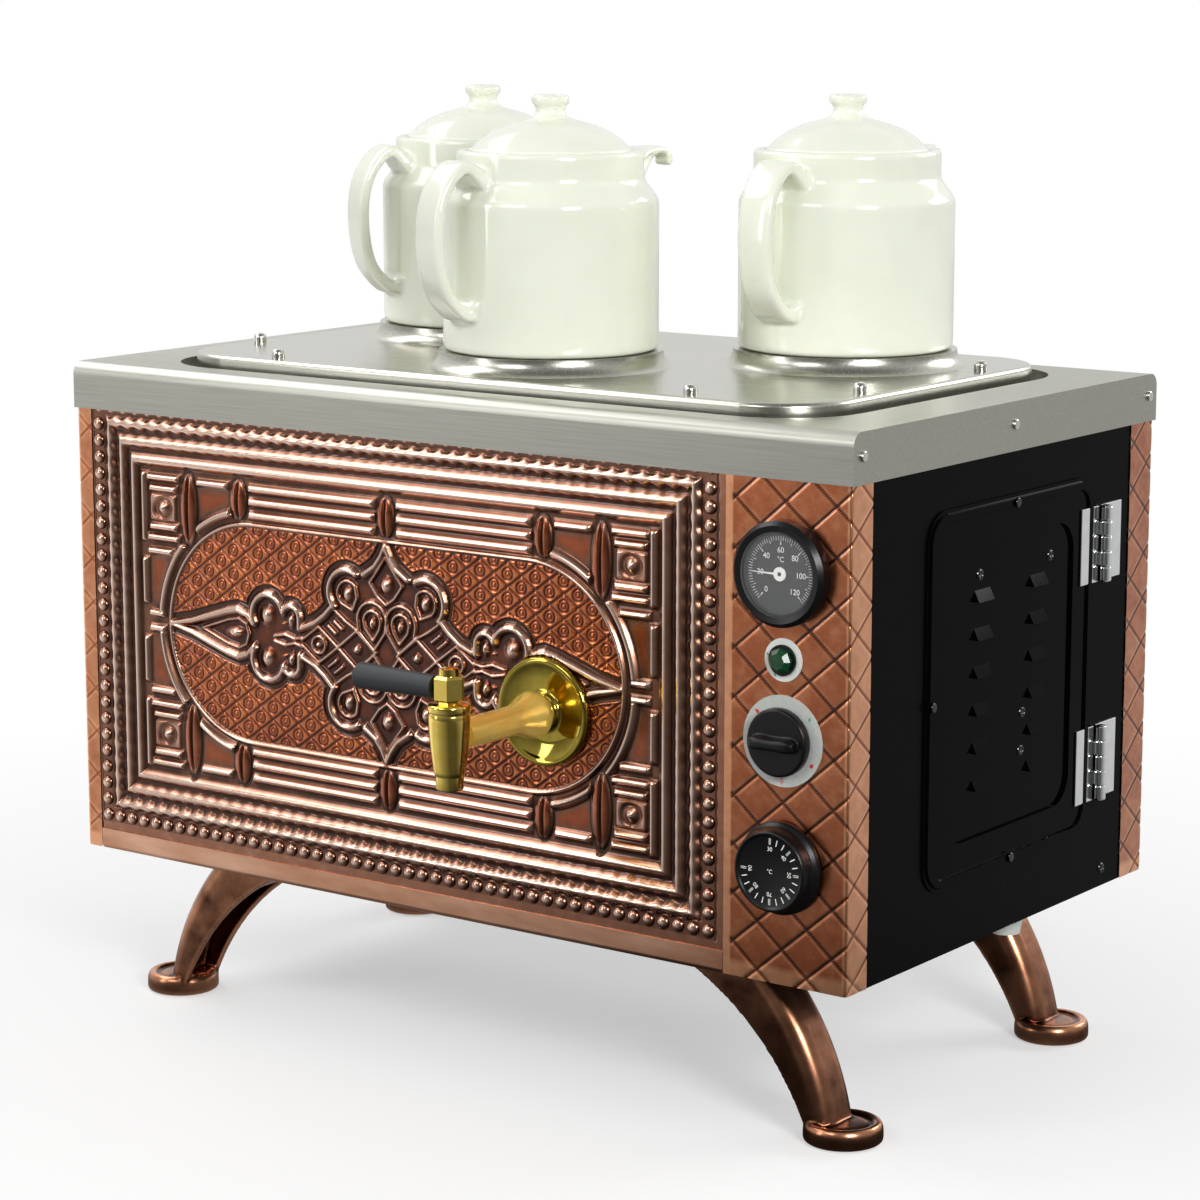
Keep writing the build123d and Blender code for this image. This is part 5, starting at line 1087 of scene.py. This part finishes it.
def makeScrews():
    sizes = {"Screw": ("Object", None), "Radius": ("Float", 0.003), "Rise": ("Float", 0.001)}
    tree, size, last = newTree("screwHeads", sizes)
    shape = addNode(tree, "GeometryNodeObjectInfo", {}, {}, {"Object": size["Screw"]})
    scale = addNode(tree, "ShaderNodeCombineXYZ", {}, {}, {0: size["Rise"], 1: size["Radius"], 2: size["Radius"]})
    dots = addNode(tree, "GeometryNodeMeshToPoints", {}, {}, {"Mesh": size["Points"]})
    spread = addNode(tree, "GeometryNodeInstanceOnPoints", {}, {},
                     {"Points": dots.outputs[0], "Instance": shape.outputs["Geometry"], "Scale": scale.outputs[0]})
    finishTree(tree, last, spread.outputs[0], darkPlate)
    head = inScene("screwHead", screwHead())
    sizes = {"Screw": head, "Radius": screws["radius"] * mm, "Rise": screws["rise"] * mm}
    for body, carrier in (("door", "door"), ("casing", "right_side_panel")):
        points = [nodes[carrier].ray_cast((screws["from"], y * mm, z * mm), (-1, 0, 0))[1] for y, z in screws[body]]
        newPiece(f"{body}Screws", grown(f"{body}Screws", tree, points, sizes), body, "nickelled_steel", None)
    bpy.data.objects.remove(head)


makeScrews()
print("screws set")


# Chrome hinges with rounded knuckle ends

hinges = {"tall": 48.0, "knuckles": 5, "gap": 0.3, "radius": 4.0, "edge": 0.9, "bore": 2.1, "near": 4.6, "leaf": 26.6,
          "sheet": 1.5, "corner": 0.45, "fixedBack": -5.1, "doorBack": -4.0, "segments": 48, "sharpAngle": 15}


def slab(low, high):
    # Plate between two corners, its edges rounded over
    shape = bmesh.new()
    bmesh.ops.create_cube(shape, size=1)
    for vert in shape.verts:
        vert.co = [(a + (c + 0.5) * (b - a)) * mm for a, b, c in zip(low, high, vert.co)]
    bmesh.ops.bevel(shape, geom=shape.edges[:], offset=hinges["corner"] * mm, segments=2, profile=0.5, affect="EDGES")
    shape.verts.index_update()
    shell = [v.co.copy() for v in shape.verts], [tuple(v.index for v in f.verts) for f in shape.faces]
    shape.free()
    return shell


def makeHinges():
    pins = np.array([v.co for v in nodes["hinge_pins"].data.vertices]) / mm
    low, high = pins.min(0), pins.max(0)
    x, y = (low[:2] + high[:2]) / 2
    gap, r, edge, bore = (hinges[key] for key in ("gap", "radius", "edge", "bore"))
    step = hinges["tall"] / hinges["knuckles"]
    top, bottom = step - gap / 2, gap / 2
    knuckle = [(bore, bottom), (r - edge, bottom), (r - 0.3 * edge, bottom + 0.3 * edge), (r, bottom + edge),
               (r, top - edge), (r - 0.3 * edge, top - 0.3 * edge), (r - edge, top), (bore, top)]
    for name, node, body, first, side in (("chromeHingeFixed", "hinge_leaves_fixed", "casing", 0, 1),
                                          ("chromeHingeDoor", "hinge_leaves_door", "door", 1, -1)):
        back = x + hinges["fixedBack" if side > 0 else "doorBack"]
        shells = []
        for base in (low[2] + gap, high[2] - gap - hinges["tall"]):
            ends = sorted((y + side * hinges["near"], y + side * hinges["leaf"]))
            shells.append(slab((back, ends[0], base), (back + hinges["sheet"], ends[1], base + hinges["tall"])))
            for index in range(first, hinges["knuckles"], 2):
                foot = base + index * step
                shells.append(lathe(knuckle, at(x, y, foot), hinges["segments"]))
                tab = sorted((y, y + side * (hinges["near"] + 1)))
                shells.append(slab((back, tab[0], foot + bottom), (back + hinges["sheet"], tab[1], foot + top)))
        newPiece(name, closedMesh(name, shells, hinges["sharpAngle"]), body, "chrome", chromePlate, node)


makeHinges()
print("hinges set")


# Floor, lights and camera

studio = {
    "floor": 6.0, "floorLevel": -0.0005, "behind": (-0.59, 0.81, 0.0),
    # What shiny pieces see of the floor: bright sweep on the left, dark under the camera
    "floorRound": ((0.0, 1.0), (0.07, 1.0), (0.115, 0.62), (0.17, 0.59), (0.24, 0.32), (0.33, 0.08), (0.42, 0.08),
                   (0.55, 0.44), (0.65, 0.56), (0.8, 0.53), (1.0, 1.0)),
    "sky": ((0.0, 0.24), (0.3, 0.58), (0.65, 0.64), (0.9, 0.25), (1.0, 0.2)),
    # Place, target, size and power
    "softboxes": {
        "leftSoftbox": ((-1.35, -0.35, 1.8), (0, -0.1, 0.3), (1.9, 0.8), 17),
        "frontSoftbox": ((-0.2, -2.2, 1.7), (0, 0, 0.3), (1.0, 0.7), 11),
        "stripSoftbox": ((-1.3, -1.9, 0.95), (0, -0.15, 0.3), (0.35, 1.3), 8),
        "rearSoftbox": ((1.15, 2.0, 1.3), (0.3, 0.0, 0.3), (1.3, 0.7), 20),
        "cameraSoftbox": ((2.05, -1.3, 1.2), (0, 0, 0.4), (0.7, 0.6), 40),
    },
    "sensor": 36.0, "lens": 104.14, "cameraPlace": (1.3108, -1.7948, 0.6837), "cameraTurn": (79.646, 0.0, 36.264),
}


def rayKinds(tree):
    path = addNode(tree, "ShaderNodeLightPath").outputs
    return path["Is Camera Ray"], mathNode(tree, "MAXIMUM", path["Is Glossy Ray"], path["Is Transmission Ray"])


def glow(tree, strength):
    return addNode(tree, "ShaderNodeEmission", {}, {"Color": grey(1)}, {"Strength": strength}).outputs["Emission"]


def blended(tree, share, first, second):
    return addNode(tree, "ShaderNodeMixShader", {}, {}, {"Fac": share, 1: first, 2: second}).outputs["Shader"]


def makeFloor():
    half = studio["floor"]
    floor = meshFrom("floor", [(-half, -half, 0), (half, -half, 0), (half, half, 0), (-half, half, 0)], [(0, 1, 2, 3)])
    plane = inScene("floor", floor)
    plane.location.z = studio["floorLevel"]
    material, tree, shader = newMaterial("paleStudioFloor", "#FFFFFF", {"Roughness": 0.9})
    place = addNode(tree, "ShaderNodeTexCoord").outputs["Object"]
    reach = addNode(tree, "ShaderNodeVectorMath", {"operation": "LENGTH"}, {}, {0: place}).outputs["Value"]
    split = addNode(tree, "ShaderNodeSeparateXYZ", {}, {}, {0: place}).outputs
    camera, shiny = rayKinds(tree)
    plain = blended(tree, mapped(tree, reach, (0.3, 1.0), (0.45, 1.0)), shader.outputs["BSDF"], glow(tree, camera))
    turn = mapped(tree, mathNode(tree, "ARCTAN2", split["Y"], split["X"]), (-math.pi, math.pi))
    lit = rampNode(tree, turn, [(spot, grey(level)) for spot, level in studio["floorRound"]])
    strength = mathNode(tree, "MULTIPLY", mapped(tree, reach, (0.33, 0.62), (0.25, 1.1)), lit)
    output = next(n for n in tree.nodes if n.type == "OUTPUT_MATERIAL")
    tree.links.new(blended(tree, shiny, plain, glow(tree, strength)), output.inputs["Surface"])
    floor.materials.append(material)


def softbox(name, place, target, size, power):
    lamp = bpy.data.lights.new(name, "AREA")
    lamp.shape, lamp.size, lamp.size_y, lamp.energy = "RECTANGLE", size[0], size[1], power
    holder = inScene(name, lamp)
    holder.location = place
    holder.rotation_euler = (Vector(target) - Vector(place)).to_track_quat("-Z", "Y").to_euler()


def makeLights():
    # White behind the object and soft overhead, darker towards the front, as in a studio sweep
    world = bpy.data.worlds.new("studio")
    bpy.context.scene.world = world
    world.use_nodes = True
    tree = world.node_tree
    tree.nodes.clear()
    place = addNode(tree, "ShaderNodeTexCoord").outputs["Generated"]
    height = addNode(tree, "ShaderNodeSeparateXYZ", {}, {}, {0: place}).outputs["Z"]
    facing = addNode(tree, "ShaderNodeVectorMath", {"operation": "DOT_PRODUCT"}, {1: studio["behind"]}, {0: place})
    behind = facing.outputs["Value"]
    upper = rampNode(tree, height, [(spot, grey(level)) for spot, level in studio["sky"]])
    sweep = mapped(tree, behind, (-0.2, 0.8), (0.0, 0.52), interpolation_type="SMOOTHSTEP")
    dim = mapped(tree, behind, (-1.0, -0.3), (0.25, 1.0))
    both = mathNode(tree, "MULTIPLY_ADD", upper, dim, sweep, use_clamp=True)
    camera, shiny = rayKinds(tree)
    fill = mapped(tree, height, toRange=(0.64, 0.04))
    seen = addNode(tree, "ShaderNodeMix", {}, {}, {0: shiny, 2: fill, 3: both})
    level = addNode(tree, "ShaderNodeMix", {}, {3: 1.0}, {0: camera, 2: seen.outputs[0]})
    white = addNode(tree, "ShaderNodeBackground", {}, {"Color": grey(1)}, {"Strength": level.outputs[0]})
    addNode(tree, "ShaderNodeOutputWorld", {}, {}, {"Surface": white.outputs["Background"]})
    for name, values in studio["softboxes"].items():
        softbox(name, *values)


def makeCamera():
    camera = bpy.data.cameras.new("camera")
    camera.sensor_width, camera.lens = studio["sensor"], studio["lens"]
    holder = inScene("camera", camera)
    holder.location = studio["cameraPlace"]
    holder.rotation_euler = [math.radians(turn) for turn in studio["cameraTurn"]]
    bpy.context.scene.camera = holder


makeFloor()
makeLights()
makeCamera()
bpy.context.scene.view_settings.view_transform = "Standard"
print("stage ready")
